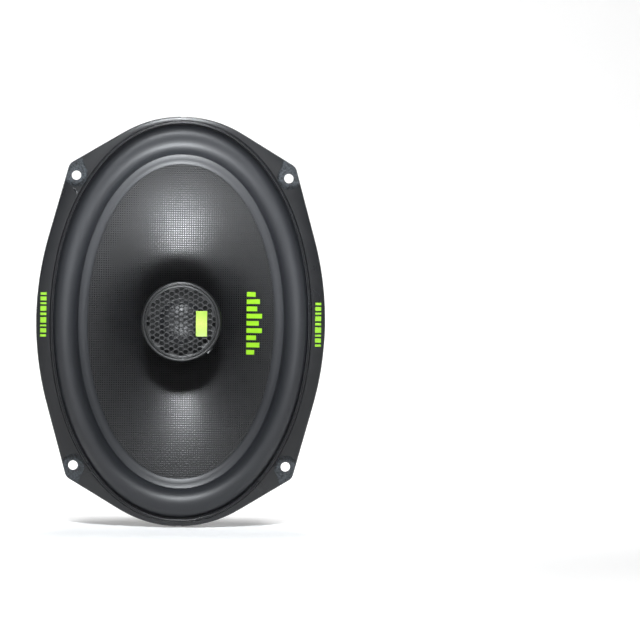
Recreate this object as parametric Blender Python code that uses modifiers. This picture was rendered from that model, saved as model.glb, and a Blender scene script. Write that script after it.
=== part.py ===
"""Oval two-way car speaker, built as the separate pieces of the real one.

The frame is upright: X across, Z along the long axis, Y towards the rear. The origin is on the
speaker's axis, in the plane where the rear of the flange meets the panel. Sizes here are in
millimetres and are turned to metres when a mesh is made.
"""

import math

import bmesh
import bpy
import numpy as np
from mathutils import Matrix, Vector

MM = 0.001
GAP = 0.3

# Flange outline: three arcs a quadrant, joined by their common tangents.
HALF_WIDTH = 83.5
HALF_HEIGHT = 118.5
SIDE_ARC_R = 180.0
TOP_ARC_R = 66.5
CORNER_R = 5.0
SIDE_TANGENT = math.radians(15.4)
TOP_TANGENT = math.radians(59.0)
FLANGE_FRONT = -2.5
SCREW_X = 61.0
SCREW_Z = 83.2
SCREW_HOLE_R = 2.75

# Ovals as half width and half height.
OVAL_POWER = 2.06
RIM_OUTER = (75.0, 112.3)
RIM_INNER = (72.3, 110.0)
ROLL_OUTER = (73.3, 113.0)
ROLL_INNER = (59.1, 96.2)
WEAVE_EDGE = (53.7, 90.6)

# Depths along Y, front to rear.
TRIM_FRONT = -5.5
ROLL_CREST = -8.2
CONE_EDGE_Y = 0.6
CONE_NECK_Y = 27.0
LAND_SHARE = 0.94
RIM_REAR = 12.0
LEDGE_FRONT = 33.5
LEDGE_REAR = 36.0
PLATE_FRONT = 40.5
PLATE_REAR = 43.0
TOP_PLATE = (PLATE_REAR + GAP, 48.3)
MAGNET = (48.6, 66.6)
YOKE = (66.9, 71.9)
BOOT_FRONT = 38.5
BOOT_REAR = 83.0
POST_FRONT = 11.9
POST_REAR = 77.6

# Radii of the round pieces.
RING_R = 60.6
LEDGE_R = 50.0
PLATE_BORE_R = 27.0
FORMER_R = 14.6
POLE_R = 14.2
GAP_BORE_R = 17.0
MAGNET_R = 54.0
BOOT_R = 57.5
LABEL_R = 52.5
POST_R = 5.0
POST_BORE_R = 3.0
RIVET_CIRCLE_R = 40.0
RIVET_HOLE_R = 2.5

# Tweeter.
BEZEL_R = 23.0
CUP_R = 22.0
GRILLE_R = 21.0
GRILLE_FRONT = -8.9
GRILLE_REAR = -8.1

# Terminals, below the ring on the lower tab.
TAB_HALF = 5.1
TAB_HOLE_Z = 74.0
TAB_HOLE = 5.0
TAB_ROOT = 54.0
TAB_END = 79.0
STRIP_X = (-19.5, 17.5)
STRIP_Z = (-82.5, -70.8)
STRIP_Y = (36.1, 38.1)
POSITIVE_X = -13.0
NEGATIVE_X = 10.0

ROUND_STEPS = 36
OVAL_STEPS = 52
SOFT_STEPS = 44
ROUTE_STEP = 9.0

FINISHES = {
    "sand_coat": ((0.055, 0.060, 0.066), 0.75, 0.0),
    "satin_plastic": ((0.045, 0.047, 0.052), 0.45, 0.0),
    "butyl_rubber": ((0.035, 0.036, 0.040), 0.55, 0.0),
    "woven_fibre": ((0.022, 0.023, 0.026), 0.40, 0.0),
    "resin_cloth": ((0.55, 0.36, 0.12), 0.85, 0.0),
    "kapton": ((0.42, 0.19, 0.04), 0.35, 0.0),
    "copper": ((0.80, 0.38, 0.20), 0.30, 1.0),
    "zinc_steel": ((0.56, 0.57, 0.58), 0.35, 1.0),
    "ferrite": ((0.05, 0.05, 0.055), 0.60, 0.0),
    "label_vinyl": ((0.86, 0.87, 0.86), 0.35, 0.0),
    "phenolic": ((0.02, 0.02, 0.02), 0.50, 0.0),
    "tinned_brass": ((0.62, 0.60, 0.55), 0.25, 1.0),
    "black_plastic": ((0.02, 0.02, 0.022), 0.40, 0.0),
    "green_plastic": ((0.50, 0.80, 0.06), 0.45, 0.0),
    "nickel": ((0.66, 0.64, 0.60), 0.22, 1.0),
    "dome_film": ((0.30, 0.31, 0.33), 0.30, 0.0),
    "capacitor_sleeve": ((0.03, 0.06, 0.16), 0.40, 0.0),
    "red_pvc": ((0.55, 0.03, 0.04), 0.40, 0.0),
    "black_pvc": ((0.02, 0.02, 0.02), 0.40, 0.0),
    "tinsel_braid": ((0.50, 0.42, 0.30), 0.50, 0.6),
}


def clear_scene():
    for obj in list(bpy.data.objects):
        bpy.data.objects.remove(obj, do_unlink=True)


def collection(name):
    made = bpy.data.collections.new(name)
    bpy.context.scene.collection.children.link(made)
    return made


def finish_of(name):
    """The named Principled material, made once."""
    if name in bpy.data.materials:
        return bpy.data.materials[name]
    colour, roughness, metallic = FINISHES[name]
    material = bpy.data.materials.new(name)
    material.use_nodes = True
    shader = material.node_tree.nodes["Principled BSDF"]
    shader.inputs["Base Color"].default_value = (*colour, 1.0)
    shader.inputs["Roughness"].default_value = roughness
    shader.inputs["Metallic"].default_value = metallic
    material.diffuse_color = (*colour, 1.0)
    return material


def add_object(name, mesh, finish=None):
    """A part with its finish, or without one a hidden cutter."""
    obj = bpy.data.objects.new(name, mesh)
    if finish is None:
        CUTTERS.objects.link(obj)
        obj.hide_render = True
        obj.display_type = "WIRE"
        return obj
    SPEAKER.objects.link(obj)
    mesh.materials.clear()
    mesh.materials.append(finish_of(finish))
    return obj


def smooth(mesh):
    mesh.shade_smooth()
    mesh.set_sharp_from_angle(angle=math.radians(32))


def mesh_from(build, name):
    """A mesh made by a function that fills a bmesh, with its normals facing out."""
    work = bmesh.new()
    build(work)
    bmesh.ops.recalc_face_normals(work, faces=work.faces)
    mesh = bpy.data.meshes.new(name)
    work.to_mesh(mesh)
    work.free()
    return mesh


def boolean(obj, other, operation="DIFFERENCE"):
    modifier = obj.modifiers.new(other.name, "BOOLEAN")
    modifier.operation = operation
    modifier.solver = "EXACT"
    modifier.object = other


def applied(obj):
    """The object with its modifiers applied to its mesh."""
    bpy.context.view_layer.update()
    graph = bpy.context.evaluated_depsgraph_get()
    mesh = bpy.data.meshes.new_from_object(obj.evaluated_get(graph))
    obj.modifiers.clear()
    obj.data = mesh
    return obj


# Outlines: a point list in X and Z, or a radius for each angle round the axis.


def flange_outline(inset=0.0):
    """The flange's edge, moved in by inset, as points anticlockwise from +X."""
    side = np.array([HALF_WIDTH - SIDE_ARC_R, 0.0])
    top = np.array([0.0, HALF_HEIGHT - TOP_ARC_R])
    normals = np.array([[math.cos(a), math.sin(a)] for a in (SIDE_TANGENT, TOP_TANGENT)])
    reach = [normals[0] @ side + SIDE_ARC_R, normals[1] @ top + TOP_ARC_R]
    corner = np.linalg.solve(normals, np.array(reach) - CORNER_R)
    arcs = [
        (side, SIDE_ARC_R, 0.0, SIDE_TANGENT, 3),
        (corner, CORNER_R, SIDE_TANGENT, TOP_TANGENT, 4),
        (top, TOP_ARC_R, TOP_TANGENT, math.pi / 2, 5),
    ]
    quadrant = []
    for centre, radius, start, end, steps in arcs:
        for angle in np.linspace(start, end, steps + 1):
            quadrant.append(centre + (radius - inset) * np.array([math.cos(angle), math.sin(angle)]))
    left = [p * (-1, 1) for p in quadrant[-2::-1]]
    upper = quadrant + left
    lower = [p * (1, -1) for p in upper[-2:0:-1]]
    return [tuple(p) for p in upper + lower]


def edge_radius(inset=0.0):
    """Radius of the flange's edge at any angle."""
    points = np.array(flange_outline(inset))
    closed = np.vstack([points, points[:1]])
    dense = np.vstack([np.linspace(a, b, 12, endpoint=False) for a, b in zip(closed, closed[1:])])
    angles = np.arctan2(dense[:, 1], dense[:, 0])
    order = np.argsort(angles)
    radii = np.hypot(dense[:, 0], dense[:, 1])
    return lambda angle: float(np.interp(angle, angles[order], radii[order], period=2 * math.pi))


def oval_radius(size, power=OVAL_POWER):
    half_x, half_z = size

    def radius(angle):
        across = abs(math.cos(angle) / half_x) ** power
        along = abs(math.sin(angle) / half_z) ** power
        return (across + along) ** (-1 / power)

    return radius


def circle_radius(r):
    return lambda angle: r


def between(outer, inner, share):
    """Size of an oval at a share of the way from outer to inner."""
    return tuple(o + (i - o) * share for o, i in zip(outer, inner))


def even_angles(steps):
    return [2 * math.pi * i / steps for i in range(steps)]


def edge_angles():
    """Angles at the flange outline's own points, with more along its straight sides."""
    found = sorted(math.atan2(z, x) % (2 * math.pi) for x, z in flange_outline())
    angles = []
    for here, after in zip(found, found[1:] + [found[0] + 2 * math.pi]):
        pieces = max(1, math.ceil((after - here) / math.radians(8.5)))
        angles += [here + (after - here) * i / pieces for i in range(pieces)]
    return angles


def ring_points(r, start, end, steps):
    return [(r * math.cos(a), r * math.sin(a)) for a in np.linspace(start, end, steps)]


def box_outline(x0, x1, z0, z1):
    return [(x0, z0), (x1, z0), (x1, z1), (x0, z1)]


# Solids.


def loft(name, stations, angles, finish=None):
    """A ring whose section is a closed loop of stations, each a radius function and a depth."""

    def build(work):
        rings = []
        for radius, depth in stations:
            ring = []
            for angle in angles:
                r = radius(angle)
                ring.append(work.verts.new(Vector((r * math.cos(angle), depth, r * math.sin(angle))) * MM))
            rings.append(ring)
        count = len(angles)
        for here, after in zip(rings, rings[1:] + rings[:1]):
            for i in range(count):
                j = (i + 1) % count
                work.faces.new((here[i], here[j], after[j], after[i]))

    mesh = mesh_from(build, name)
    smooth(mesh)
    return add_object(name, mesh, finish)


def turned(name, profile, finish=None, steps=ROUND_STEPS, at=(0.0, 0.0)):
    """A round piece about Y. The profile of radius and depth runs from rear to front outside."""
    mesh = bpy.data.meshes.new(name)
    points = [(r * MM, 0.0, y * MM) for r, y in profile]
    edges = [(i, i + 1) for i in range(len(points) - 1)]
    if profile[0][0] > 0:
        edges.append((len(points) - 1, 0))
    mesh.from_pydata(points, edges, [])
    obj = add_object(name, mesh, finish)
    obj.rotation_euler = (-math.pi / 2, 0.0, 0.0)
    obj.location = (at[0] * MM, 0.0, at[1] * MM)
    screw = obj.modifiers.new("turn", "SCREW")
    screw.axis = "Z"
    screw.steps = steps
    screw.render_steps = steps
    screw.use_merge_vertices = True
    screw.merge_threshold = 1e-5
    screw.use_smooth_shade = True
    return obj


def plate(name, loops, front, rear, finish=None):
    """A flat plate between two depths. The first loop is its edge and the others are holes."""
    curve = bpy.data.curves.new(name, "CURVE")
    curve.dimensions = "2D"
    curve.fill_mode = "BOTH"
    curve.extrude = (rear - front) / 2 * MM
    for loop in loops:
        spline = curve.splines.new("POLY")
        spline.points.add(len(loop) - 1)
        for point, (x, z) in zip(spline.points, loop):
            point.co = (x * MM, z * MM, 0.0, 1.0)
        spline.use_cyclic_u = True
    drawn = bpy.data.objects.new(name + "_outline", curve)
    middle = Matrix.Translation((0, (front + rear) / 2 * MM, 0))
    drawn.matrix_world = middle @ Matrix.Rotation(math.pi / 2, 4, "X")
    return add_object(name, solid_mesh(drawn, name), finish)


def solid_mesh(drawn, name):
    """The mesh of a curve object, in place, with its caps welded. The curve is removed."""
    SPEAKER.objects.link(drawn)
    bpy.context.view_layer.update()
    graph = bpy.context.evaluated_depsgraph_get()
    mesh = bpy.data.meshes.new_from_object(drawn.evaluated_get(graph))
    mesh.transform(drawn.matrix_world)
    bpy.data.objects.remove(drawn, do_unlink=True)
    work = bmesh.new()
    work.from_mesh(mesh)
    bmesh.ops.remove_doubles(work, verts=work.verts, dist=1e-7)
    bmesh.ops.recalc_face_normals(work, faces=work.faces)
    work.to_mesh(mesh)
    work.free()
    mesh.name = name
    return mesh


def box(name, low, high, finish=None, turn=0.0):
    """A box from its low and high corners, turned about its own middle in the X-Z plane."""
    low = Vector(low) * MM
    high = Vector(high) * MM

    def build(work):
        bmesh.ops.create_cube(work, size=1.0, matrix=Matrix.Diagonal((*(high - low), 1.0)))
        bmesh.ops.rotate(work, verts=work.verts, cent=(0, 0, 0), matrix=Matrix.Rotation(-turn, 3, "Y"))
        bmesh.ops.translate(work, verts=work.verts, vec=(low + high) / 2)

    return add_object(name, mesh_from(build, name), finish)


def smooth_route(points, spacing):
    """Points about a spacing apart along a Catmull-Rom curve through the given ones."""
    given = [Vector(p) for p in points]
    padded = [given[0] * 2 - given[1], *given, given[-1] * 2 - given[-2]]
    route = []
    for a, b, c, d in zip(padded, padded[1:], padded[2:], padded[3:]):
        pieces = max(1, round((c - b).length / spacing))
        for i in range(pieces):
            t = i / pieces
            bend = (2 * a - 5 * b + 4 * c - d) * t**2 + (3 * b - a - 3 * c + d) * t**3
            route.append(0.5 * (2 * b + (c - a) * t + bend))
    return route + [given[-1]]


def lead(name, points, radius, spacing, finish):
    curve = bpy.data.curves.new(name, "CURVE")
    curve.dimensions = "3D"
    curve.bevel_depth = radius * MM
    curve.bevel_resolution = 2
    curve.use_fill_caps = True
    route = smooth_route(points, spacing)
    spline = curve.splines.new("POLY")
    spline.points.add(len(route) - 1)
    for point, place in zip(spline.points, route):
        point.co = (*(place * MM), 1.0)
    obj = bpy.data.objects.new(name, curve)
    SPEAKER.objects.link(obj)
    curve.materials.append(finish_of(finish))
    return obj


# The basket and what closes its front.


def basket_bowl():
    """Rim wall, spokes, spider ledge and rear plate as one ring of even metal."""
    inner_bore = circle_radius(PLATE_BORE_R)
    stations = [
        (oval_radius(RIM_OUTER), FLANGE_FRONT + GAP),
        (oval_radius(RIM_OUTER), RIM_REAR),
        (oval_radius((72.0, 104.0)), 24.0),
        (oval_radius((68.5, 93.0)), 30.5),
        (circle_radius(RING_R), LEDGE_REAR),
        (circle_radius(LEDGE_R), LEDGE_REAR),
        (circle_radius(LEDGE_R), PLATE_REAR),
        (inner_bore, PLATE_REAR),
        (inner_bore, PLATE_FRONT),
        (circle_radius(LEDGE_R - 2.5), PLATE_FRONT),
        (circle_radius(LEDGE_R - 2.5), LEDGE_FRONT),
        (circle_radius(RING_R - 2.5), LEDGE_FRONT),
        (oval_radius((66.0, 90.5)), 28.0),
        (oval_radius((69.4, 101.6)), 22.5),
        (oval_radius(RIM_INNER), RIM_REAR - 0.5),
        (oval_radius(RIM_INNER), FLANGE_FRONT + GAP),
    ]
    return loft("basket", stations, even_angles(OVAL_STEPS), "sand_coat")


def window_cutter(name, middle, spread, inner_r, front):
    """A sector that opens the bowl between the rear ring and the rim wall."""
    start = math.radians(middle - spread)
    end = math.radians(middle + spread)
    edge = ring_points(inner_r, start, end, 10) + ring_points(130.0, end, start, 6)
    return plate(name, [edge], front, 50.0)


def bowl_openings():
    """Cutters of the four windows, the slots in the spokes and the rivet holes."""
    made = [
        window_cutter("window_top", 90, 22, RING_R + 0.7, RIM_REAR + 0.3),
        window_cutter("window_bottom", 270, 22, RING_R + 0.7, RIM_REAR + 0.3),
        window_cutter("window_right", 0, 30, RING_R + 2.2, RIM_REAR + 1.0),
        window_cutter("window_left", 180, 30, RING_R + 2.2, RIM_REAR + 1.0),
    ]
    for number in range(4):
        slope = math.radians((47.5, 132.5, 227.5, 312.5)[number])
        middle = Vector((math.cos(slope), 0, math.sin(slope))) * 71.5
        low = middle - Vector((9.0, 0, 1.45))
        high = middle + Vector((9.0, 0, 1.45))
        low.y, high.y = RIM_REAR + 1.0, 50.0
        made.append(box(f"spoke_slot_{number + 1}", low, high, turn=slope))
    for index, place in enumerate(rivet_places()):
        hole = [(RIVET_HOLE_R, 60.0), (RIVET_HOLE_R, 38.0)]
        made.append(turned(f"rivet_hole_{index + 1}", pin(hole), steps=12, at=place))
    return made


def flange_plate():
    """The flat flange with its screw holes and a small notch at each end."""
    opening = oval_radius(between(RIM_OUTER, RIM_INNER, 0.5))
    mouth = [(opening(a) * math.cos(a), opening(a) * math.sin(a)) for a in even_angles(OVAL_STEPS)]
    loops = [flange_outline(), mouth]
    hole = ring_points(SCREW_HOLE_R, 0, 2 * math.pi * 19 / 20, 20)
    for side_x in (1, -1):
        for side_z in (1, -1):
            loops.append([(x + side_x * SCREW_X, z + side_z * SCREW_Z) for x, z in hole])
    flange = plate("flange", loops, FLANGE_FRONT, 0.0)
    for side in (1, -1):
        notch = side * HALF_HEIGHT
        boolean(flange, box(f"notch_{side}", (-1.6, -9.0, notch - 0.8), (1.6, 3.0, notch + 0.8)))
    return flange


def pin(side):
    """A closed profile on the axis from its outer side, rear to front."""
    return [(0.0, side[0][1]), *side, (0.0, side[-1][1])]


def rivet_places():
    turns = [math.radians(45 + 90 * i) for i in range(4)]
    return [(RIVET_CIRCLE_R * math.cos(t), RIVET_CIRCLE_R * math.sin(t)) for t in turns]


def make_basket():
    basket = basket_bowl()
    for cutter in bowl_openings():
        boolean(basket, cutter)
    for side in (1, -1):
        low = (-TAB_HALF, LEDGE_FRONT + 0.5, min(side * TAB_ROOT, side * TAB_END))
        high = (TAB_HALF, LEDGE_REAR - 0.5, max(side * TAB_ROOT, side * TAB_END))
        tab = box(f"tab_{side}", low, high)
        middle = side * TAB_HOLE_Z
        low = (-TAB_HOLE / 2, 30.0, middle - TAB_HOLE / 2)
        high = (TAB_HOLE / 2, 40.0, middle + TAB_HOLE / 2)
        boolean(tab, box(f"tab_hole_{side}", low, high))
        boolean(basket, tab, "UNION")
    boolean(basket, flange_plate(), "UNION")
    smooth(applied(basket).data)


def make_trim_ring():
    """Satin ring glued over the flange, cut away at the four screw corners."""
    inner = between(ROLL_OUTER, RIM_INNER, -0.25)
    foot = (ROLL_OUTER[0] + 2.6, ROLL_OUTER[1] + 2.6)
    stations = [
        (edge_radius(1.0), FLANGE_FRONT - GAP),
        (edge_radius(1.0), TRIM_FRONT + 0.4),
        (edge_radius(1.4), TRIM_FRONT),
        (oval_radius((inner[0] + 1.2, inner[1] + 1.2)), TRIM_FRONT),
        (oval_radius((inner[0] + 0.9, inner[1] + 0.9)), TRIM_FRONT - 0.6),
        (oval_radius((inner[0] + 0.2, inner[1] + 0.2)), TRIM_FRONT - 0.6),
        (oval_radius(inner), TRIM_FRONT),
        (oval_radius(inner), -3.8),
        (oval_radius(foot), -3.8),
        (oval_radius(foot), FLANGE_FRONT - GAP),
    ]
    ring = loft("trim_ring", stations, edge_angles(), "satin_plastic")
    for side_x in (1, -1):
        for side_z in (1, -1):
            name = f"relief_{side_x}_{side_z}"
            turn = math.atan2(side_z * SCREW_Z, side_x * SCREW_X)
            start = turn + math.pi / 2
            arc = ring_points(6.8, start, start + math.pi, 12)
            reach = ring_points(30.0, turn - 0.5, turn + 0.5, 2)
            outline = [(x + side_x * SCREW_X, z + side_z * SCREW_Z) for x, z in arc + reach]
            boolean(ring, plate(name, [outline], -12.0, 4.0))
    smooth(applied(ring).data)


def make_surround():
    """Half roll of rubber with its glue foot outside and its land on the cone inside."""
    thickness = 0.6
    foot = (ROLL_OUTER[0] + 2.2, ROLL_OUTER[1] + 2.2)
    front = [(foot, FLANGE_FRONT - GAP - thickness), (ROLL_OUTER, FLANGE_FRONT - GAP - thickness)]
    base_outer = FLANGE_FRONT - GAP - thickness
    base_inner = CONE_EDGE_Y - 1.5
    steps = 7
    for i in range(1, steps):
        share = i / steps
        rise = math.sin(math.pi * share) ** 0.75
        base = base_outer + (base_inner - base_outer) * share
        front.append((between(ROLL_OUTER, ROLL_INNER, share), base + (ROLL_CREST - base) * rise))
    front.append((ROLL_INNER, base_inner))
    front.append((WEAVE_EDGE, cone_front(LAND_SHARE) - GAP - thickness))
    rear = [(size, y + thickness) for size, y in reversed(front)]
    stations = [(oval_radius(size), y) for size, y in front + rear]
    loft("surround", stations, even_angles(SOFT_STEPS), "butyl_rubber")


# The moving assembly.


def cone_front(share):
    """Depth of the cone's front face, from 0 at the neck to 1 at the edge."""
    curved = 0.45 * share + 0.55 * (1 - (1 - share) ** 2)
    return CONE_NECK_Y + (CONE_EDGE_Y - CONE_NECK_Y) * curved


def cone_size(share):
    neck = (FORMER_R + 0.8, FORMER_R + 0.8)
    edge = (ROLL_INNER[0] - 0.6, ROLL_INNER[1] - 0.6)
    return between(neck, edge, share)


def cone_station(share, offset):
    power = 2.0 + (OVAL_POWER - 2.0) * share
    return oval_radius(cone_size(share), power), cone_front(share) + offset


def make_cone():
    thickness = 1.1
    shares = [0.0, 0.1, 0.25, 0.45, 0.7, 1.0]
    front = [cone_station(share, 0.0) for share in reversed(shares)]
    rear = [cone_station(share, thickness) for share in shares[1:]]
    neck = FORMER_R + 0.8
    lip = circle_radius(neck + 0.9)
    collar = [(circle_radius(neck), 29.4), (lip, 29.4), (lip, 28.0)]
    loft("cone", front + collar + rear, even_angles(SOFT_STEPS), "woven_fibre")


def make_voice_coil():
    wall = 0.5
    turned(
        "voice_coil_former",
        [(FORMER_R + wall, 56.0), (FORMER_R + wall, 25.4), (FORMER_R, 25.4), (FORMER_R, 56.0)],
        "kapton",
    )
    inner = FORMER_R + wall + 0.2
    turned(
        "voice_coil_winding",
        [(inner + 1.1, 52.0), (inner + 1.1, 40.0), (inner, 40.0), (inner, 52.0)],
        "copper",
    )
    for name, x in (("positive", POSITIVE_X), ("negative", NEGATIVE_X)):
        start = tinsel_start(x)
        inward = Vector((start.x, 0.0, start.z)).normalized() * 1.4
        middle = start - inward
        half = Vector((1.1, 0.45, 0.7))
        turn = math.atan2(middle.z, middle.x) + math.pi / 2
        box(f"coil_tag_{name}", middle - half, middle + half, "tinned_brass", turn)


def tinsel_start(x):
    """Where a tinsel lead leaves its tag on the voice coil."""
    away = Vector((x * 0.45, 0, -16.5)).normalized() * 17.9
    return Vector((away.x, 30.3, away.z))


def make_spider():
    """Resin-stiffened cloth disc, corrugated between its collar and its glue edge."""
    thickness = 0.6
    collar = FORMER_R + 0.8
    level = LEDGE_FRONT - GAP - thickness
    front = [(56.0, level), (47.0, level)]
    waves = 7
    for i in range(waves):
        radius = 45.0 - (45.0 - 19.5) * i / (waves - 1)
        front.append((radius, level + (-1.0 if i % 2 == 0 else 1.0)))
    front += [(17.2, level), (collar, level - 0.8)]
    rear = [(r, y + thickness) for r, y in reversed(front)]
    turned("spider", rear[-1:] + front + rear[:-1], "resin_cloth", 28)


def make_tinsel_leads():
    for name, x in (("positive", POSITIVE_X), ("negative", NEGATIVE_X)):
        start = tinsel_start(x)
        points = [
            start,
            (start.x * 1.25, 29.4, -25.0),
            (x * 0.62, 29.0, -36.0),
            (x * 0.78, 29.8, -48.0),
            (x * 0.90, 30.9, -58.0),
            (x, 32.6, -66.0),
            (x, 34.6, -71.0),
        ]
        lead(f"tinsel_lead_{name}", points, 0.6, 5.0, "tinsel_braid")


# The motor.


def make_motor():
    plate_front, plate_rear = TOP_PLATE
    ring = turned("top_plate", tube(GAP_BORE_R, LEDGE_R, plate_front, plate_rear), "zinc_steel")
    for index in range(4):
        boolean(ring, bpy.data.objects[f"rivet_hole_{index + 1}"])
    turned("magnet", tube(22.0, MAGNET_R, *MAGNET), "ferrite")
    front, rear = YOKE
    bore = POST_R + GAP
    yoke = [
        (LEDGE_R, rear),
        (LEDGE_R, front + 1.0),
        (LEDGE_R - 1.0, front),
        (POLE_R, front),
        (POLE_R, PLATE_REAR + 0.8),
        (POLE_R - 0.8, PLATE_REAR),
        (bore, PLATE_REAR),
        (bore, rear),
    ]
    turned("yoke", yoke, "zinc_steel")
    for index, place in enumerate(rivet_places()):
        shank = RIVET_HOLE_R - GAP
        side = [(shank, plate_rear - 0.5), (shank, 40.2), (4.0, 40.2), (3.4, 39.0)]
        turned(f"plate_rivet_{index + 1}", pin(side), "zinc_steel", 12, place)


def tube(inner, outer, front, rear):
    return [(outer, rear), (outer, front), (inner, front), (inner, rear)]


def make_boot():
    """Rubber cup over the magnet, with a hole low in its wall where the tweeter leads come out."""
    inner = MAGNET_R + 0.4
    floor = BOOT_REAR - 2.6
    profile = [
        (0.0, BOOT_REAR),
        (BOOT_R - 3.0, BOOT_REAR),
        (BOOT_R - 0.9, BOOT_REAR - 0.9),
        (BOOT_R, BOOT_REAR - 3.0),
        (BOOT_R, BOOT_FRONT),
        (inner, BOOT_FRONT),
        (inner, floor),
        (0.0, floor),
    ]
    boot = turned("magnet_boot", profile, "butyl_rubber", 40)
    boolean(boot, box("lead_exit", (-3.4, 74.0, -60.0), (3.0, 79.4, -50.0)))
    turned("rear_label", pin([(LABEL_R, BOOT_REAR + 0.6), (LABEL_R, BOOT_REAR + GAP)]), "label_vinyl", 40)


# The terminals.


def make_terminals():
    strip_front, strip_rear = STRIP_Y
    hole = box_outline(-1.6, 1.6, -TAB_HOLE_Z - 1.6, -TAB_HOLE_Z + 1.6)
    plate("terminal_strip", [box_outline(*STRIP_X, *STRIP_Z), hole], strip_front, strip_rear, "phenolic")
    side = [(2.6, strip_rear + 1.3), (2.6, strip_rear + GAP), (1.2, strip_rear + GAP), (1.2, 33.0)]
    turned("terminal_rivet", pin(side), "zinc_steel", 12, (0.0, -TAB_HOLE_Z))
    terminal("terminal_positive", POSITIVE_X, -1, 3.15)
    terminal("terminal_negative", NEGATIVE_X, 1, 2.4)


def terminal(name, x, side, half_width):
    """A solder lug on the strip with a blade standing up and out from it."""
    base = STRIP_Y[1] + GAP
    eye = ring_points(1.0, 0, 2 * math.pi * 11 / 12, 12)
    hole = [(px + x, pz - 75.6) for px, pz in eye]
    outline = box_outline(x - 3.2, x + 3.2, -79.5, -73.6)
    lug = plate(name, [outline, hole], base, base + 0.8, "tinned_brass")
    foot_x = x + side * 2.2
    tilt = side * math.radians(25)
    blade = box(
        name + "_blade",
        (foot_x + side * 1.2 - 0.4, base + 0.3, -75.8),
        (foot_x + side * 1.2 + 0.4, base + 0.3 + 2 * half_width, -66.8),
        turn=-tilt,
    )
    boolean(lug, blade, "UNION")


# The tweeter on its post.


def make_post():
    post = [
        (POST_R, POST_REAR),
        (POST_R, POST_FRONT + 1.5),
        (9.0, POST_FRONT + 1.5),
        (9.0, POST_FRONT),
        (POST_BORE_R, POST_FRONT),
        (POST_BORE_R, POST_REAR),
    ]
    turned("tweeter_post", post, "zinc_steel", 24)
    turned("post_washer", tube(POST_R + GAP, 10.0, YOKE[1] + GAP, 73.4), "zinc_steel", 24)
    across = 16.0 / math.sqrt(3)
    corners = ring_points(across, 0, 2 * math.pi * 5 / 6, 6)
    bore = ring_points(POST_R + 0.2, 0, 2 * math.pi * 23 / 24, 24)
    plate("post_nut", [corners, bore], 73.7, 77.3, "zinc_steel")


def make_tweeter_housing():
    wall = CUP_R - 1.6
    outside = [(CUP_R - 1.0, 11.6), (CUP_R, 10.6), (CUP_R, -6.3)]
    inside = [(wall, -6.3), (wall, 10.0), (4.2, 10.0), (4.2, 11.6)]
    cup = outside + inside
    turned("tweeter_cup", cup, "black_plastic", 28)
    seat = GRILLE_R + GAP
    bezel = [
        (BEZEL_R, -1.0),
        (BEZEL_R, -9.0),
        (BEZEL_R - 0.5, -9.6),
        (seat, -9.6),
        (seat, GRILLE_REAR + GAP),
        (19.8, GRILLE_REAR + GAP),
        (19.8, -6.6),
        (CUP_R + GAP, -6.6),
        (CUP_R + GAP, -1.0),
    ]
    ring = turned("tweeter_bezel", bezel, "black_plastic", 32)
    lug = Vector((math.cos(math.radians(-45)), 0, math.sin(math.radians(-45)))) * 23.2
    low = lug - Vector((0.8, -1.2, 2.2))
    high = lug + Vector((0.8, 0.0, 2.2))
    low.y, high.y = -6.0, -1.6
    boolean(ring, box("bezel_lug", low, high, turn=math.radians(-45)), "UNION")
    turned("tweeter_baffle", tube(13.2, 20.1, -2.9, -2.1), "black_plastic", 32)
    badge = box_outline(8.4, 14.8, -8.5, 6.1)
    plate("grille_badge", [badge], GRILLE_FRONT - 0.6, GRILLE_FRONT - GAP, "green_plastic")


def make_grille():
    """The disc that carries the honeycomb, at its full size and thickness."""
    turned("tweeter_grille", pin([(GRILLE_R, GRILLE_REAR), (GRILLE_R, GRILLE_FRONT)]), "black_plastic", 40)


def make_tweeter_drive():
    dome = [
        (0.0, -5.9),
        (5.0, -5.3),
        (9.4, -3.6),
        (12.3, -1.2),
        (14.8, -1.2),
        (14.8, -1.6),
        (12.7, -1.6),
        (9.6, -4.1),
        (5.1, -5.8),
        (0.0, -6.4),
    ]
    turned("tweeter_dome", dome, "dome_film", 28)
    turned("tweeter_voice_coil", tube(12.2, 12.6, -0.8, 2.4), "copper", 28)
    turned("tweeter_pole_plate", pin([(11.8, 1.4), (11.8, -0.4)]), "nickel", 28)
    turned("tweeter_magnet", pin([(11.0, 5.0), (11.0, 1.7)]), "nickel", 28)
    yoke = [(0.0, 7.0), (15.0, 7.0), (15.0, -0.6), (13.1, -0.6), (13.1, 5.3), (0.0, 5.3)]
    turned("tweeter_yoke", yoke, "nickel", 28)
    turned("tweeter_capacitor", pin([(2.4, 6.8), (2.4, -1.6)]), "capacitor_sleeve", 16, (0.0, 17.8))


def make_tweeter_leads():
    """Two leads from the tweeter, down the post, under the boot and forward to the terminals."""
    for name, side, radius, finish, lug_x in (
        ("positive", -1, 0.9, "red_pvc", POSITIVE_X),
        ("negative", 1, 0.7, "black_pvc", NEGATIVE_X),
    ):
        x = side * 1.1
        start = -side
        points = [
            (x, 8.4, start * 17.0),
            (x, 8.4, start * 5.0),
            (x, 9.0, start * 2.6),
            (x, 10.6, start * 1.0),
            (x, 13.0, start * 0.2),
            (x, 18.0, 0.0),
            (x, 72.0, 0.0),
            (x, 77.2, -0.3),
            (x, 79.0, -2.2),
            (x, 79.3, -6.0),
            (x, 79.3, -40.0),
            (x, 78.6, -50.0),
            (x, 77.0, -56.0),
            (x * 1.2, 73.6, -61.0),
            (x * 1.8, 64.0, -63.6),
            (x * 3.6, 54.0, -66.4),
            (lug_x * 0.72, 45.6, -70.6),
            (lug_x * 0.97, 41.4, -74.6),
        ]
        lead(f"tweeter_lead_{name}", points, radius, ROUTE_STEP, finish)


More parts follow.
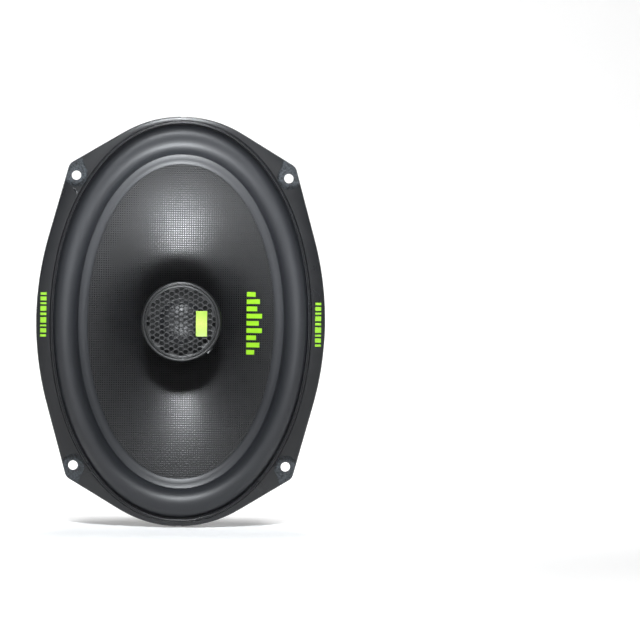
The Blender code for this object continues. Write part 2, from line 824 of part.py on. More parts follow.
clear_scene()
SPEAKER = collection("oval_coaxial_speaker")
CUTTERS = collection("cutters")
make_basket()
make_trim_ring()
make_surround()
make_cone()
make_voice_coil()
make_spider()
make_tinsel_leads()
make_motor()
make_boot()
make_terminals()
make_post()
make_tweeter_housing()
make_grille()
make_tweeter_drive()
make_tweeter_leads()
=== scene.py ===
"""Looks of the oval coaxial speaker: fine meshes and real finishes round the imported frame.

Lengths are in millimetres and turn to metres when a mesh is made. X is across, Y rearwards and
Z along the oval's long axis, as in the frame. The front faces -Y.
"""

import math

import bmesh
import bpy
import numpy as np
from mathutils import Matrix, Vector


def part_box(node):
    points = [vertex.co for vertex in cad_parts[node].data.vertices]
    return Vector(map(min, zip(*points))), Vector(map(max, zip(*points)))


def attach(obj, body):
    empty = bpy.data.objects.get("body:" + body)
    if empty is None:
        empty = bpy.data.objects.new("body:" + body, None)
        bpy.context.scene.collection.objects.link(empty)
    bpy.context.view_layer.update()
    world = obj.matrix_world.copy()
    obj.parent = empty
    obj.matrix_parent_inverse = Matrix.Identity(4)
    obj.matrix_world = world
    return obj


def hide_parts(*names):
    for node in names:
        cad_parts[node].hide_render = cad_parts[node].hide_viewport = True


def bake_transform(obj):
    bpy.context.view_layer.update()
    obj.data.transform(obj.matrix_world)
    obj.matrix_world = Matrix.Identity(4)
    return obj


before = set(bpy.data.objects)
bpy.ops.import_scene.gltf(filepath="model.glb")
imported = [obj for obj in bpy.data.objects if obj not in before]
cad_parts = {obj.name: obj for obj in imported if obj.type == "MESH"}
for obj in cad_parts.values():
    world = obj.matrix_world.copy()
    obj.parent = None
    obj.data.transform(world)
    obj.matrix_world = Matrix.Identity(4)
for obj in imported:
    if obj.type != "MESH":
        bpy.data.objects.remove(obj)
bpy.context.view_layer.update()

MM = 0.001


def span(node):
    """Lowest and highest corner of a CAD node, in millimetres."""
    low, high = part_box(node)
    return np.array(low) / MM, np.array(high) / MM


BASKET_HIGH = span("basket")[1]
TRIM_LOW, TRIM_HIGH = span("trim_ring")
BOOT_LOW, BOOT_HIGH = span("magnet_boot")
LABEL_LOW, LABEL_HIGH = span("rear_label")
GRILLE_LOW, GRILLE_HIGH = span("tweeter_grille")
STRIP_LOW, STRIP_HIGH = span("terminal_strip")

# Flange outline: three arcs a quadrant, joined by their common tangents.
HALF_WIDTH = BASKET_HIGH[0]
HALF_HEIGHT = BASKET_HIGH[2]
SIDE_ARC_R = 180.0
TOP_ARC_R = 66.5
CORNER_R = 5.0
SIDE_TANGENT = math.radians(15.4)
TOP_TANGENT = math.radians(59.0)
SCREW_X = 61.0
SCREW_Z = 83.2
SCREW_HOLE_R = 2.75
TRIM_RELIEF_R = 6.8
RIVET_CIRCLE_R = 40.0
RIVET_HOLE_R = 2.45

# Ovals as half width and half height.
OVAL_POWER = 2.06
ROLL_OUTER = (73.3, 113.0)
ROLL_INNER = (59.1, 96.2)
WEAVE_EDGE = (53.7, 90.6)
TRIM_INNER = (73.55, 113.75)

# Depths along Y.
TRIM_REAR = TRIM_HIGH[1]
TRIM_FACE = TRIM_LOW[1] + 0.6
FOOT_FRONT = -3.4
CONE_EDGE_Y = 0.6
CONE_NECK_Y = 27.0
CONE_NECK_R = 15.4
RUBBER = 0.6
LABEL_FACE = LABEL_HIGH[1] - 0.06
INK_DEPTHS = (LABEL_FACE - 0.04, LABEL_HIGH[1] - 0.005)

SAFE_EDGE = math.radians(36)


# Outlines.


def flange_outline(inset=0.0, steps=(16, 8, 24)):
    """The flange's edge, moved in by inset, as points anticlockwise from +X."""
    side = np.array([HALF_WIDTH - SIDE_ARC_R, 0.0])
    top = np.array([0.0, HALF_HEIGHT - TOP_ARC_R])
    normals = np.array([[math.cos(a), math.sin(a)] for a in (SIDE_TANGENT, TOP_TANGENT)])
    reach = np.array([normals[0] @ side + SIDE_ARC_R, normals[1] @ top + TOP_ARC_R])
    corner = np.linalg.solve(normals, reach - CORNER_R)
    arcs = (
        (side, SIDE_ARC_R, 0.0, SIDE_TANGENT, steps[0]),
        (corner, CORNER_R, SIDE_TANGENT, TOP_TANGENT, steps[1]),
        (top, TOP_ARC_R, TOP_TANGENT, math.pi / 2, steps[2]),
    )
    quadrant = []
    for centre, radius, start, end, count in arcs:
        for angle in np.linspace(start, end, count + 1):
            quadrant.append(centre + (radius - inset) * np.array([math.cos(angle), math.sin(angle)]))
    left = [p * (-1, 1) for p in quadrant[-2::-1]]
    upper = quadrant + left
    lower = [p * (1, -1) for p in upper[-2:0:-1]]
    return [tuple(p) for p in upper + lower]


def edge_radius(inset):
    """Radius of the flange's edge at any angle round the axis."""
    points = np.array(flange_outline(inset))
    closed = np.vstack([points, points[:1]])
    dense = np.vstack([np.linspace(a, b, 24, endpoint=False) for a, b in zip(closed, closed[1:])])
    angles = np.arctan2(dense[:, 1], dense[:, 0])
    order = np.argsort(angles)
    radii = np.hypot(dense[:, 0], dense[:, 1])[order]
    return lambda angle: float(np.interp(angle, angles[order], radii, period=2 * math.pi))


def oval_radius(size, power=OVAL_POWER):
    def radius(angle):
        across = abs(math.cos(angle) / size[0]) ** power
        along = abs(math.sin(angle) / size[1]) ** power
        return (across + along) ** (-1 / power)

    return radius


def circle_radius(r):
    return lambda angle: r


def midway(first, second, share):
    return lambda angle: first(angle) + (second(angle) - first(angle)) * share


def between(outer, inner, share):
    return tuple(o + (i - o) * share for o, i in zip(outer, inner))


def grown(size, by):
    return size[0] + by, size[1] + by


def even_angles(steps):
    return [2 * math.pi * i / steps for i in range(steps)]


def flange_angles(step, wanted=()):
    """Angles step degrees apart, closer at the flange's corners, with the wanted ones among them."""
    corner = 54.3
    found = list(wanted)
    fine = [corner + d for d in np.arange(-5.0, 5.1, 0.6)]
    fine += [180 - a for a in fine] + [180 + a for a in fine] + [360 - a for a in fine]
    for angle in fine + list(np.arange(0.0, 360.0, step)):
        if all(abs(angle - other) > 0.45 for other in found):
            found.append(angle % 360)
    return [math.radians(a) for a in sorted(found)]


def ring_points(r, start, end, steps):
    return [(r * math.cos(a), r * math.sin(a)) for a in np.linspace(start, end, steps)]


def round_outline(r, steps):
    return ring_points(r, 0.0, 2 * math.pi * (steps - 1) / steps, steps)


def box_outline(x0, x1, z0, z1):
    return [(x0, z0), (x1, z0), (x1, z1), (x0, z1)]


def moved(outline, x, z):
    return [(px + x, pz + z) for px, pz in outline]


def smooth_curve(points, pieces):
    """Points on a Catmull-Rom curve through the given ones."""
    given = [np.array(p, float) for p in points]
    padded = [2 * given[0] - given[1], *given, 2 * given[-1] - given[-2]]
    curve = []
    for a, b, c, d in zip(padded, padded[1:], padded[2:], padded[3:]):
        for t in np.arange(pieces) / pieces:
            bend = (2 * a - 5 * b + 4 * c - d) * t**2 + (3 * b - a - 3 * c + d) * t**3
            curve.append(0.5 * (2 * b + (c - a) * t + bend))
    return curve + [given[-1]]


# Meshes.


def shown(name, data):
    """A new object in the scene."""
    obj = bpy.data.objects.new(name, data)
    bpy.context.scene.collection.objects.link(obj)
    return obj


def surface(verts, faces):
    """A mesh in metres from points in millimetres."""
    mesh = bpy.data.meshes.new("surface")
    mesh.from_pydata((np.array(verts, float) * MM).tolist(), [], faces)
    return tidy(mesh)


def tidy(mesh, sharp=SAFE_EDGE):
    """Doubles welded, normals out, smooth shading with real edges kept."""
    work = bmesh.new()
    work.from_mesh(mesh)
    bmesh.ops.remove_doubles(work, verts=work.verts, dist=1e-7)
    bmesh.ops.recalc_face_normals(work, faces=work.faces)
    work.to_mesh(mesh)
    work.free()
    mesh.shade_smooth()
    mesh.set_sharp_from_angle(angle=sharp)
    return mesh


def eased(corners, steps=4):
    """A closed section of (radius, depth, reach) corners, each eased from reach before to after."""
    points = []
    for index, (r, y, reach) in enumerate(corners):
        here = np.array((r, y))
        if reach == 0:
            points.append(here)
            continue
        ends = []
        for other in (corners[index - 1], corners[(index + 1) % len(corners)]):
            way = np.array(other[:2]) - here
            ends.append(here + way * min(reach / max(np.linalg.norm(way), 1e-6), 0.46))
        for t in np.linspace(0.0, 1.0, steps + 1):
            points.append((1 - t) ** 2 * ends[0] + 2 * t * (1 - t) * here + t**2 * ends[1])
    return points


def ring_mesh(sections, angles):
    """A ring through one closed section of (radius, depth) points for each angle."""
    grid = np.array(sections, float)
    count, length = grid.shape[:2]
    turn = np.array(angles)[:, None]
    places = np.stack([grid[..., 0] * np.cos(turn), grid[..., 1], grid[..., 0] * np.sin(turn)], -1)
    here = np.arange(count)[:, None] * length + np.arange(length)[None]
    after = np.roll(here, -1, axis=0)
    faces = np.stack([here, np.roll(here, -1, 1), np.roll(after, -1, 1), after], -1)
    return surface(places.reshape(-1, 3), faces.reshape(-1, 4).tolist())


def lofted(corners, angles, steps=4):
    """A ring whose corners are (radius function, depth, reach)."""
    sections = [eased([(radius(a), y, reach) for radius, y, reach in corners], steps) for a in angles]
    return ring_mesh(sections, angles)


def spun(corners, steps=144, easing=4, at=(0.0, 0.0)):
    """A turned piece from eased (radius, depth, reach) corners, its axis along Y at (x, z)."""
    section = eased(corners, easing)
    mesh = ring_mesh([section] * steps, even_angles(steps))
    mesh.transform(Matrix.Translation((at[0] * MM, 0.0, at[1] * MM)))
    return mesh


def round_box(node):
    """Rear and front depth, radius and middle of a turned CAD node."""
    low, high = span(node)
    middle = ((high[0] + low[0]) / 2, (high[2] + low[2]) / 2)
    return high[1], low[1], (high[0] - low[0]) / 2, middle


def sleeve(node, inner, reach=0.4, steps=144):
    """A turned tube that fills a CAD node's box, with the given bore."""
    rear, front, outer, middle = round_box(node)
    reach = min(reach, 0.4 * (outer - inner), 0.4 * (rear - front))
    places = ((outer, rear), (outer, front), (inner, front), (inner, rear))
    return spun([(r, y, reach) for r, y in places], steps, 3, middle)


def slug(node, reach=0.3, steps=96):
    """A turned solid that fills a CAD node's box."""
    rear, front, outer, middle = round_box(node)
    corners = [(0.0, rear, 0), (outer, rear, reach), (outer, front, reach), (0.0, front, 0)]
    return spun(corners, steps, 3, middle)


def slab(loops, front, rear, bevel=0.0):
    """A flat plate from its edge and its holes, with bevelled rims."""
    curve = bpy.data.curves.new("outline", "CURVE")
    curve.dimensions = "2D"
    curve.fill_mode = "BOTH"
    curve.extrude = ((rear - front) / 2 - bevel) * MM
    curve.bevel_depth = bevel * MM
    curve.bevel_resolution = 1
    curve.offset = -bevel * MM
    for loop in loops:
        spline = curve.splines.new("POLY")
        spline.points.add(len(loop) - 1)
        for point, (x, z) in zip(spline.points, loop):
            point.co = (x * MM, z * MM, 0.0, 1.0)
        spline.use_cyclic_u = True
    drawn = bpy.data.objects.new("outline", curve)
    place = Matrix.Translation((0, (front + rear) / 2 * MM, 0)) @ Matrix.Rotation(math.pi / 2, 4, "X")
    mesh = evaluated(drawn)
    mesh.transform(place)
    bpy.data.curves.remove(curve)
    return tidy(mesh)


def evaluated(obj):
    """The mesh that an object's modifiers or curve settings make. The object is removed."""
    bpy.context.scene.collection.objects.link(obj)
    bpy.context.view_layer.update()
    graph = bpy.context.evaluated_depsgraph_get()
    mesh = bpy.data.meshes.new_from_object(obj.evaluated_get(graph))
    bpy.data.objects.remove(obj, do_unlink=True)
    return mesh


def carved(mesh, cutters, operation="DIFFERENCE"):
    """The mesh with the cutter meshes taken out of it, or joined to it."""
    body = bpy.data.objects.new(mesh.name, mesh)
    helpers = []
    for cutter in cutters:
        helper = shown("cutter", cutter)
        helpers.append(helper)
        modifier = body.modifiers.new("carve", "BOOLEAN")
        modifier.operation = operation
        modifier.solver = "EXACT"
        modifier.object = helper
    result = evaluated(body)
    for helper in helpers:
        bpy.data.objects.remove(helper, do_unlink=True)
    return tidy(result)


def skinned(rings):
    """A closed skin through rings of points, with flat ends."""
    count, sides = len(rings), len(rings[0])
    faces = [tuple(reversed(range(sides))), tuple(range((count - 1) * sides, count * sides))]
    for i in range(count - 1):
        for j in range(sides):
            k = (j + 1) % sides
            faces.append((i * sides + j, i * sides + k, (i + 1) * sides + k, (i + 1) * sides + j))
    return surface([tuple(point) for ring in rings for point in ring], faces)


def tube(route, radius, sides=16):
    """A tube along a route."""
    points = [Vector(p) for p in route]
    tangents = [(b - a).normalized() for a, b in zip(points, points[1:])]
    tangents.append(tangents[-1])
    across = tangents[0].orthogonal().normalized()
    rings = []
    for point, tangent in zip(points, tangents):
        across = (across - tangent * across.dot(tangent)).normalized()
        other = tangent.cross(across)
        turns = even_angles(sides)
        rings.append([point + (across * math.cos(t) + other * math.sin(t)) * radius for t in turns])
    return skinned(rings)


def block(middle, size, turn=0.0, bevel=0.15):
    """A box with rounded edges, turned about Y in the X-Z plane."""
    work = bmesh.new()
    bmesh.ops.create_cube(work, size=1.0, matrix=Matrix.Diagonal((*(s * MM for s in size), 1.0)))
    bmesh.ops.bevel(work, geom=work.edges[:], offset=bevel * MM, segments=2, affect="EDGES", profile=0.5)
    bmesh.ops.rotate(work, verts=work.verts, cent=(0, 0, 0), matrix=Matrix.Rotation(-turn, 3, "Y"))
    bmesh.ops.translate(work, verts=work.verts, vec=Vector(middle) * MM)
    mesh = bpy.data.meshes.new("block")
    work.to_mesh(mesh)
    work.free()
    return tidy(mesh)


def joined(meshes):
    work = bmesh.new()
    for mesh in meshes:
        work.from_mesh(mesh)
    result = bpy.data.meshes.new("joined")
    work.to_mesh(result)
    work.free()
    return tidy(result)


def piece(name, mesh, finish, slot, stands_for=(), body="root"):
    """A shown piece with its finish, riding on a body and standing for CAD nodes."""
    obj = shown(name, mesh)
    mesh.name = name
    mesh.materials.clear()
    mesh.materials.append(finish)
    if body:
        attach(obj, body)
    if stands_for:
        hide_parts(*stands_for)
    return obj


# Finishes.


def colour(code):
    """Linear colour of an sRGB hex value."""
    parts = [int(code[i : i + 2], 16) / 255 for i in (1, 3, 5)]
    linear = [p / 12.92 if p <= 0.04045 else ((p + 0.055) / 1.055) ** 2.4 for p in parts]
    return (*linear, 1.0)


def per_mm(size):
    """Texture scale for a pattern whose features are size millimetres apart."""
    return 1.0 / (size * MM)


def new_finish(name, code, roughness, metallic=0.0, ior=None):
    """A material and its tree, its shader and the place on the object."""
    made = bpy.data.materials.new(name)
    made.use_nodes = True
    shader = made.node_tree.nodes["Principled BSDF"]
    shader.inputs["Base Color"].default_value = colour(code)
    shader.inputs["Roughness"].default_value = roughness
    shader.inputs["Metallic"].default_value = metallic
    if ior:
        shader.inputs["IOR"].default_value = ior
    place = add(made.node_tree, "ShaderNodeTexCoord").outputs["Object"]
    return made, made.node_tree, shader, place


def add(tree, kind, inputs=None, **settings):
    """A node with its settings. An input given as an output socket is linked, another is a value."""
    made = tree.nodes.new(kind)
    for name, value in settings.items():
        setattr(made, name, value)
    for name, value in (inputs or {}).items():
        if isinstance(value, bpy.types.NodeSocket):
            tree.links.new(value, made.inputs[name])
        else:
            made.inputs[name].default_value = value
    return made


BUMP = "ShaderNodeBump"
MATH = "ShaderNodeMath"
MIX = "ShaderNodeMix"
NOISE = "ShaderNodeTexNoise"
RANGE = "ShaderNodeMapRange"
SPLIT = "ShaderNodeSeparateXYZ"
WAVE = "ShaderNodeTexWave"
MIX_A, MIX_B, MIX_OUT = 6, 7, 2  # places of a Mix node's two colours and its mixed colour
WAVE_REPEAT = math.tau / 20  # distance between two bands of a Wave node whose scale is 1


def limits(value, low, high, out_low=0.0, out_high=1.0):
    """Inputs of a Map Range node that turns low to high into out_low to out_high."""
    names = ("Value", "From Min", "From Max", "To Min", "To Max")
    return dict(zip(names, (value, low, high, out_low, out_high)))


def dress(tree, shader, share, dark, light, height=None, depth=0.0, gloss=None, strength=1.0):
    """Two tones mixed by share, with a relief depth millimetres high and an uneven gloss if given."""
    tones = {"Factor": share, MIX_A: colour(dark), MIX_B: colour(light)}
    tone = add(tree, MIX, tones, data_type="RGBA")
    tree.links.new(tone.outputs[MIX_OUT], shader.inputs["Base Color"])
    if height is not None:
        relief = add(tree, BUMP, {"Strength": strength, "Distance": depth * MM, "Height": height})
        tree.links.new(relief.outputs["Normal"], shader.inputs["Normal"])
    if gloss is not None:
        uneven = add(tree, RANGE, gloss)
        tree.links.new(uneven.outputs["Result"], shader.inputs["Roughness"])


def grained(name, light, dark, roughness, grain, depth, rough_swing=0.1, metallic=0.0, ior=1.5):
    """A moulded, cast or plated surface: two close tones, uneven gloss and a fine relief."""
    made, tree, shader, place = new_finish(name, light, roughness, metallic, ior)
    fine = add(tree, NOISE, {"Vector": place, "Scale": per_mm(grain), "Detail": 3.0}).outputs["Fac"]
    broad = add(tree, NOISE, {"Vector": place, "Scale": per_mm(grain * 40), "Detail": 2.0})
    half = rough_swing / 2
    gloss = limits(broad.outputs["Fac"], 0.3, 0.7, roughness - half, roughness + half)
    dress(tree, shader, fine, dark, light, fine, depth, gloss)
    return made


def sand_powder_coat():
    """Epoxy powder coat with a sand texture on pressed steel: dark grey and dull, with small bright
    faces on its grit. The grit is drawn 1.1 mm across, coarser than real, so that it shows."""
    made, tree, shader, place = new_finish("sand powder coat", "#2C3034", 0.5, 0.0, 1.5)
    coarse = {"Vector": place, "Scale": per_mm(1.1), "Detail": 4.0, "Roughness": 0.7}
    grit = add(tree, NOISE, coarse).outputs["Fac"]
    broad = add(tree, NOISE, {"Vector": place, "Scale": per_mm(22.0), "Detail": 2.0})
    sparse = add(tree, RANGE, limits(grit, 0.36, 0.68)).outputs["Result"]
    gloss = limits(broad.outputs["Fac"], 0.3, 0.7, 0.44, 0.56)
    dress(tree, shader, sparse, "#0C0D0F", "#4A5056", sparse, 0.3, gloss)
    return made


def woven_cloth():
    """Plain-woven fibre cloth set in black resin. Each thread bows over its neighbour and shines on
    its crown, with dull resin in the gaps, so a light breaks into rows of dots. The base colour is
    darker in the gaps than on the crowns: painted shade between the threads. The thread is drawn
    1.3 mm wide, coarser than real, so that it shows."""
    made, tree, shader, place = new_finish("woven fibre in black resin", "#0C0D0F", 0.34, 0.0, 1.5)
    thread = 1.3
    split = add(tree, SPLIT, {"Vector": place})
    phases, bows = {}, {}
    for axis in ("X", "Z"):
        phase = add(tree, MATH, {0: split.outputs[axis], 1: per_mm(thread)}, operation="MULTIPLY")
        angle = add(tree, MATH, {0: phase.outputs[0], 1: math.pi}, operation="MULTIPLY")
        wave = add(tree, MATH, {0: angle.outputs[0]}, operation="SINE")
        bow = add(tree, MATH, {0: wave.outputs[0]}, operation="ABSOLUTE")
        phases[axis], bows[axis] = phase.outputs[0], bow.outputs[0]
    flat = add(tree, "ShaderNodeCombineXYZ", {"X": phases["X"], "Y": 0.5, "Z": phases["Z"]})
    over = add(tree, "ShaderNodeTexChecker", {"Vector": flat.outputs["Vector"], "Scale": 1.0})
    crown = add(tree, MATH, {0: bows["X"], 1: bows["Z"]}, operation="MULTIPLY").outputs[0]
    chosen = {"Factor": over.outputs["Fac"], 2: bows["X"], 3: bows["Z"]}
    along = add(tree, MIX, chosen, data_type="FLOAT").outputs[0]
    height = add(tree, MATH, {0: along, 1: 0.6, 2: crown}, operation="MULTIPLY_ADD").outputs[0]
    batch = add(tree, NOISE, {"Vector": place, "Scale": per_mm(6.0), "Detail": 3.0}).outputs["Fac"]
    level = add(tree, MATH, {0: batch, 1: 0.35, 2: crown}, operation="MULTIPLY_ADD").outputs[0]
    gloss = limits(level, 0.1, 1.1, 0.72, 0.17)
    # The gap tone #020202 is painted shade between the threads; #101114 is the threads' own colour.
    dress(tree, shader, crown, "#020202", "#101114", height, 0.045, gloss)
    return made


def resin_cotton():
    """Cotton cloth dipped in amber resin and pressed hot: an open square weave, dull and stiff. The
    threads are drawn 5.65 mm apart, coarser than real, so that they show."""
    made, tree, shader, place = new_finish("resin-dipped cotton cloth", "#C79A4E", 0.8, 0.0, 1.5)
    pitch = 5.65
    threads = []
    for axis in ("X", "Z"):
        rows = {"Vector": place, "Scale": per_mm(pitch) * WAVE_REPEAT, "Distortion": 0.6}
        threads.append(add(tree, WAVE, rows, bands_direction=axis).outputs["Fac"])
    cloth = add(tree, MATH, {0: threads[0], 1: threads[1]}, operation="MAXIMUM").outputs[0]
    dress(tree, shader, cloth, "#7C5520", "#CFA55C", cloth, 0.12, None, 0.8)
    return made


def wound(name, light, dark, metallic, roughness, pitch, axis):
    """Turns of wire or braid side by side along one axis, pitch millimetres apart."""
    made, tree, shader, place = new_finish(name, light, roughness, metallic)
    rows = {"Vector": place, "Scale": per_mm(pitch) * WAVE_REPEAT, "Distortion": 0.4}
    turns = add(tree, WAVE, rows, bands_direction=axis, wave_profile="SIN").outputs["Fac"]
    dress(tree, shader, turns, dark, light, turns, 0.1)
    return made


def badge_lacquer():
    """Green plastic badge with a paler printed middle under clear lacquer."""
    made, tree, shader, place = new_finish("green lacquered badge", "#BCEB3A", 0.30, 0.0, 1.5)
    low, high = span("grille_badge")
    middle = (low[2] + high[2]) / 2 * MM
    reach = 6.0 * MM
    split = add(tree, SPLIT, {"Vector": place})
    away = add(tree, MATH, {0: split.outputs["Z"], 1: middle}, operation="SUBTRACT")
    size = add(tree, MATH, {0: away.outputs[0]}, operation="ABSOLUTE")
    fade = add(tree, RANGE, limits(size.outputs[0], 0.0, reach, 1.0, 0.0))
    fine = add(tree, NOISE, {"Vector": place, "Scale": per_mm(0.8), "Detail": 2.0}).outputs["Fac"]
    share = add(tree, MATH, {0: fade.outputs[0], 1: fine}, operation="MULTIPLY").outputs[0]
    dress(tree, shader, share, "#7E9A34", "#A9BE62")
    return made


# ABS moulded in a spark-eroded tool: an even satin that carries a soft broad light.
TRIM_ABS = grained("satin moulded ABS", "#18191C", "#111214", 0.3, 0.35, 0.004, 0.06, 0.0, 1.53)

# Butyl rubber pressed in a polished tool: near black, with soft long highlights.
BUTYL = grained("moulded butyl rubber", "#232529", "#1C1D20", 0.46, 0.9, 0.006, 0.08, 0.0, 1.52)

# Matt nitrile rubber with a fine stipple from a blasted tool.
BOOT = grained("stippled nitrile rubber", "#2A2D31", "#1A1C1F", 0.55, 0.5, 0.03, 0.08, 0.0, 1.52)

# Black ABS from a polished tool: darker and glossier than the trim.
TWEETER_ABS = grained("polished black ABS", "#0E0F10", "#08090A", 0.34, 0.5, 0.003, 0.06, 0.0, 1.53)

# Black ABS from a blasted tool, hidden behind the grille: dull, and coloured darker than the other black
# plastic as painted shade for the dim space behind the grille.
SHADED_MATT_ABS = grained("blasted black ABS darkened for shade", "#08090A", "#050506", 0.8, 0.4, 0.02, 0.06, 0.0, 1.5)

# Black paper phenolic laminate: flat, with a faint fibre mottle.
PHENOLIC = grained("black phenolic laminate", "#17181A", "#0D0E0F", 0.42, 0.4, 0.006, 0.1, 0.0, 1.56)

# Clear-passivated zinc on turned steel: a bluish grey with cloudy gloss.
ZINC = grained("clear zinc plate", "#B9BCC0", "#8E9298", 0.34, 0.5, 0.006, 0.14, 1.0, None)

# Tin-dipped stamped brass: bright, a little warm and slightly uneven.
TINNED = grained("tinned brass", "#D8D4C8", "#A8A498", 0.24, 0.6, 0.01, 0.12, 1.0, None)

# Tin-lead solder that froze in a blob: bright with a soft skin.
SOLDER = grained("soft solder", "#D2D4D6", "#A2A5A8", 0.22, 0.4, 0.012, 0.12, 1.0, None)

# Bright nickel on the small motor's steel and magnet.
NICKEL = grained("bright nickel plate", "#CFC8BA", "#A9A294", 0.22, 0.6, 0.003, 0.08, 1.0, None)

# Sintered strontium ferrite with ground faces: charcoal with a dull sheen and grit.
FERRITE = grained("ground ferrite", "#3C3C3F", "#232326", 0.50, 0.3, 0.01, 0.12, 0.0, 1.9)

# Amber polyimide film wound on itself: clear, glossy and orange brown.
KAPTON = grained("amber polyimide film", "#A8632A", "#7E4318", 0.28, 0.6, 0.004, 0.06, 0.0, 1.7)

# Thin polyetherimide film formed hot: dark and satin, with faint draw marks.
FILM = grained("formed polyetherimide film", "#16171A", "#101113", 0.46, 0.5, 0.004, 0.06, 0.0, 1.66)

# Dark blue shrink sleeve over a small can.
SLEEVE = grained("shrink sleeve", "#1C2C58", "#131F42", 0.32, 0.4, 0.004, 0.06, 0.0, 1.5)

# Red PVC insulation, smooth and a little waxy.
RED = grained("red PVC insulation", "#C42430", "#A61A26", 0.38, 0.4, 0.006, 0.06, 0.0, 1.54)

# Charcoal PVC insulation, smooth and a little waxy.
GREY = grained("charcoal PVC insulation", "#3A3C40", "#2A2C2F", 0.40, 0.4, 0.006, 0.06, 0.0, 1.54)

# Screen-printed green ink: flat colour with the faint mottle of the mesh.
GREEN_INK = grained("green screen ink", "#86BE1C", "#78AE14", 0.42, 0.35, 0.004, 0.06, 0.0, 1.5)

# Glossy white vinyl label stock.
VINYL = grained("white vinyl label", "#F6F7F5", "#EEF0EC", 0.30, 1.2, 0.002, 0.05, 0.0, 1.5)

# Black label ink, slightly sunk into the vinyl.
INK = grained("black label ink", "#1A1A1C", "#101012", 0.40, 0.5, 0.003, 0.05, 0.0, 1.5)

# Thinned green label ink for the fine side rules.
PALE = grained("pale green label ink", "#E3F2B8", "#D9ECA6", 0.36, 0.5, 0.002, 0.05, 0.0, 1.5)

# Leaf green label ink.
LEAF = grained("leaf green label ink", "#A6D014", "#94BE0C", 0.36, 0.5, 0.002, 0.05, 0.0, 1.5)

# Enamelled copper wire wound in a single layer: bright turns, drawn 2.5 mm apart, coarser than
# real, so that they show.
COPPER = wound("enamelled copper winding", "#D98A55", "#7A3A1C", 1.0, 0.30, 2.513, "Y")

# Tinsel conductor braided round a cotton core: small bright and dull diamonds, drawn coarser than
# real, so that they show.
TINSEL = wound("tinsel braid", "#C9B48A", "#7F6C48", 0.6, 0.42, 5.027, "DIAGONAL")

BASKET_COAT = sand_powder_coat()
WOVEN = woven_cloth()
COTTON = resin_cotton()
BADGE = badge_lacquer()


# The fixed frame: basket, trim, soft parts.

WINDOWS = ((90, 22), (270, 22), (0, 30), (180, 30))
WINDOW_FIRST = 13.2
WINDOW_LAST = 33.9
RIM_Y = -1.25
LEDGE_Y = 34.75
SEAT_Y = 41.75
BORE_R = 48.75
SHEET = 2.4
LOBES = ((30.0, 45.6), (49.4, 68.0))  # first and last degree of a spoke's two lobes
LOBE_HEIGHT = 2.4
SLOT_TURNS = (47.5, 132.5, 227.5, 312.5)
SLOT_LENGTH, SLOT_WIDTH, SLOT_REACH = 18.0, 2.9, 71.5


def in_window(angle, y):
    """Whether a place on the bowl lies in one of its four windows."""
    if not WINDOW_FIRST < y < WINDOW_LAST:
        return False
    turn = math.degrees(angle) % 360
    return any(abs((turn - middle + 180) % 360 - 180) < spread for middle, spread in WINDOWS)


def basket_stations():
    """Middle of the sheet from the flange's edge down to the bore for the motor."""
    edge = edge_radius(1.8)
    rim = oval_radius((73.65, 111.15))
    ring = circle_radius(59.35)
    shoulder = oval_radius((67.2, 91.7))
    bowl = [(edge_radius(0.4), RIM_Y), (edge, RIM_Y)]
    bowl += [(midway(edge, rim, share), RIM_Y) for share in (0.5, 0.8)]
    bowl += [(rim, y) for y in (RIM_Y, 1.5, 6.5, 11.4)]
    bowl += [
        (oval_radius((73.4, 110.4)), WINDOW_FIRST),
        (oval_radius((72.4, 107.0)), 18.0),
        (oval_radius((70.4, 101.2)), 23.6),
        (shoulder, 29.2),
        (midway(shoulder, ring, 0.4), 31.6),
        (midway(shoulder, ring, 0.85), WINDOW_LAST),
        (ring, LEDGE_Y),
    ]
    ledge = ((54.0, LEDGE_Y), (BORE_R, LEDGE_Y), (BORE_R, 38.0))
    seat = ((BORE_R, SEAT_Y), (44.0, SEAT_Y), (34.0, SEAT_Y), (27.6, SEAT_Y))
    return bowl + [(circle_radius(r), y) for r, y in ledge + seat]


def swelling(angle, y):
    """How far a spoke's two lobes stand out of the bowl, either side of their slot."""
    down = (y - WINDOW_FIRST) / (LEDGE_Y - WINDOW_FIRST)
    turn = math.degrees(angle) % 180
    turn = min(turn, 180 - turn)
    for first, last in LOBES:
        if first < turn < last and 0 < down < 1:
            across = math.sin(math.pi * (turn - first) / (last - first))
            return LOBE_HEIGHT * across**0.5 * math.sin(math.pi * down) ** 0.7
    return 0.0


def basket_shell():
    """The pressed sheet with its windows left out, thickened and rounded."""
    wanted = [(middle + side * spread) % 360 for middle, spread in WINDOWS for side in (-1, 1)]
    angles = flange_angles(2.4, wanted)
    stations = basket_stations()
    verts = []
    for angle in angles:
        for radius, y in stations:
            swell = swelling(angle, y)
            r = radius(angle) + 0.6 * swell
            y += 0.8 * swell
            verts.append((r * math.cos(angle), y, r * math.sin(angle)))
    faces = []
    count = len(stations)
    for i, angle in enumerate(angles):
        j = (i + 1) % len(angles)
        gap = (angles[j] - angle) % (2 * math.pi)
        for k in range(count - 1):
            depth = (stations[k][1] + stations[k + 1][1]) / 2
            if not in_window(angle + gap / 2, depth):
                faces.append((i * count + k, i * count + k + 1, j * count + k + 1, j * count + k))
    sheet = bpy.data.objects.new("basket_sheet", surface(verts, faces))
    thick = sheet.modifiers.new("thickness", "SOLIDIFY")
    thick.thickness = SHEET * MM
    thick.offset = 0.0
    thick.use_even_offset = True
    soft = sheet.modifiers.new("pressing", "SUBSURF")
    soft.levels = 1
    return tidy(evaluated(sheet))


def stadium(length, width, turn, x, z):
    """Outline of a slot with round ends."""
    half = (length - width) / 2
    ends = ring_points(width / 2, -math.pi / 2, math.pi / 2, 8)
    outline = [(px + half, pz) for px, pz in ends] + [(-px - half, -pz) for px, pz in ends]
    c, s = math.cos(turn), math.sin(turn)
    return [(px * c - pz * s + x, px * s + pz * c + z) for px, pz in outline]


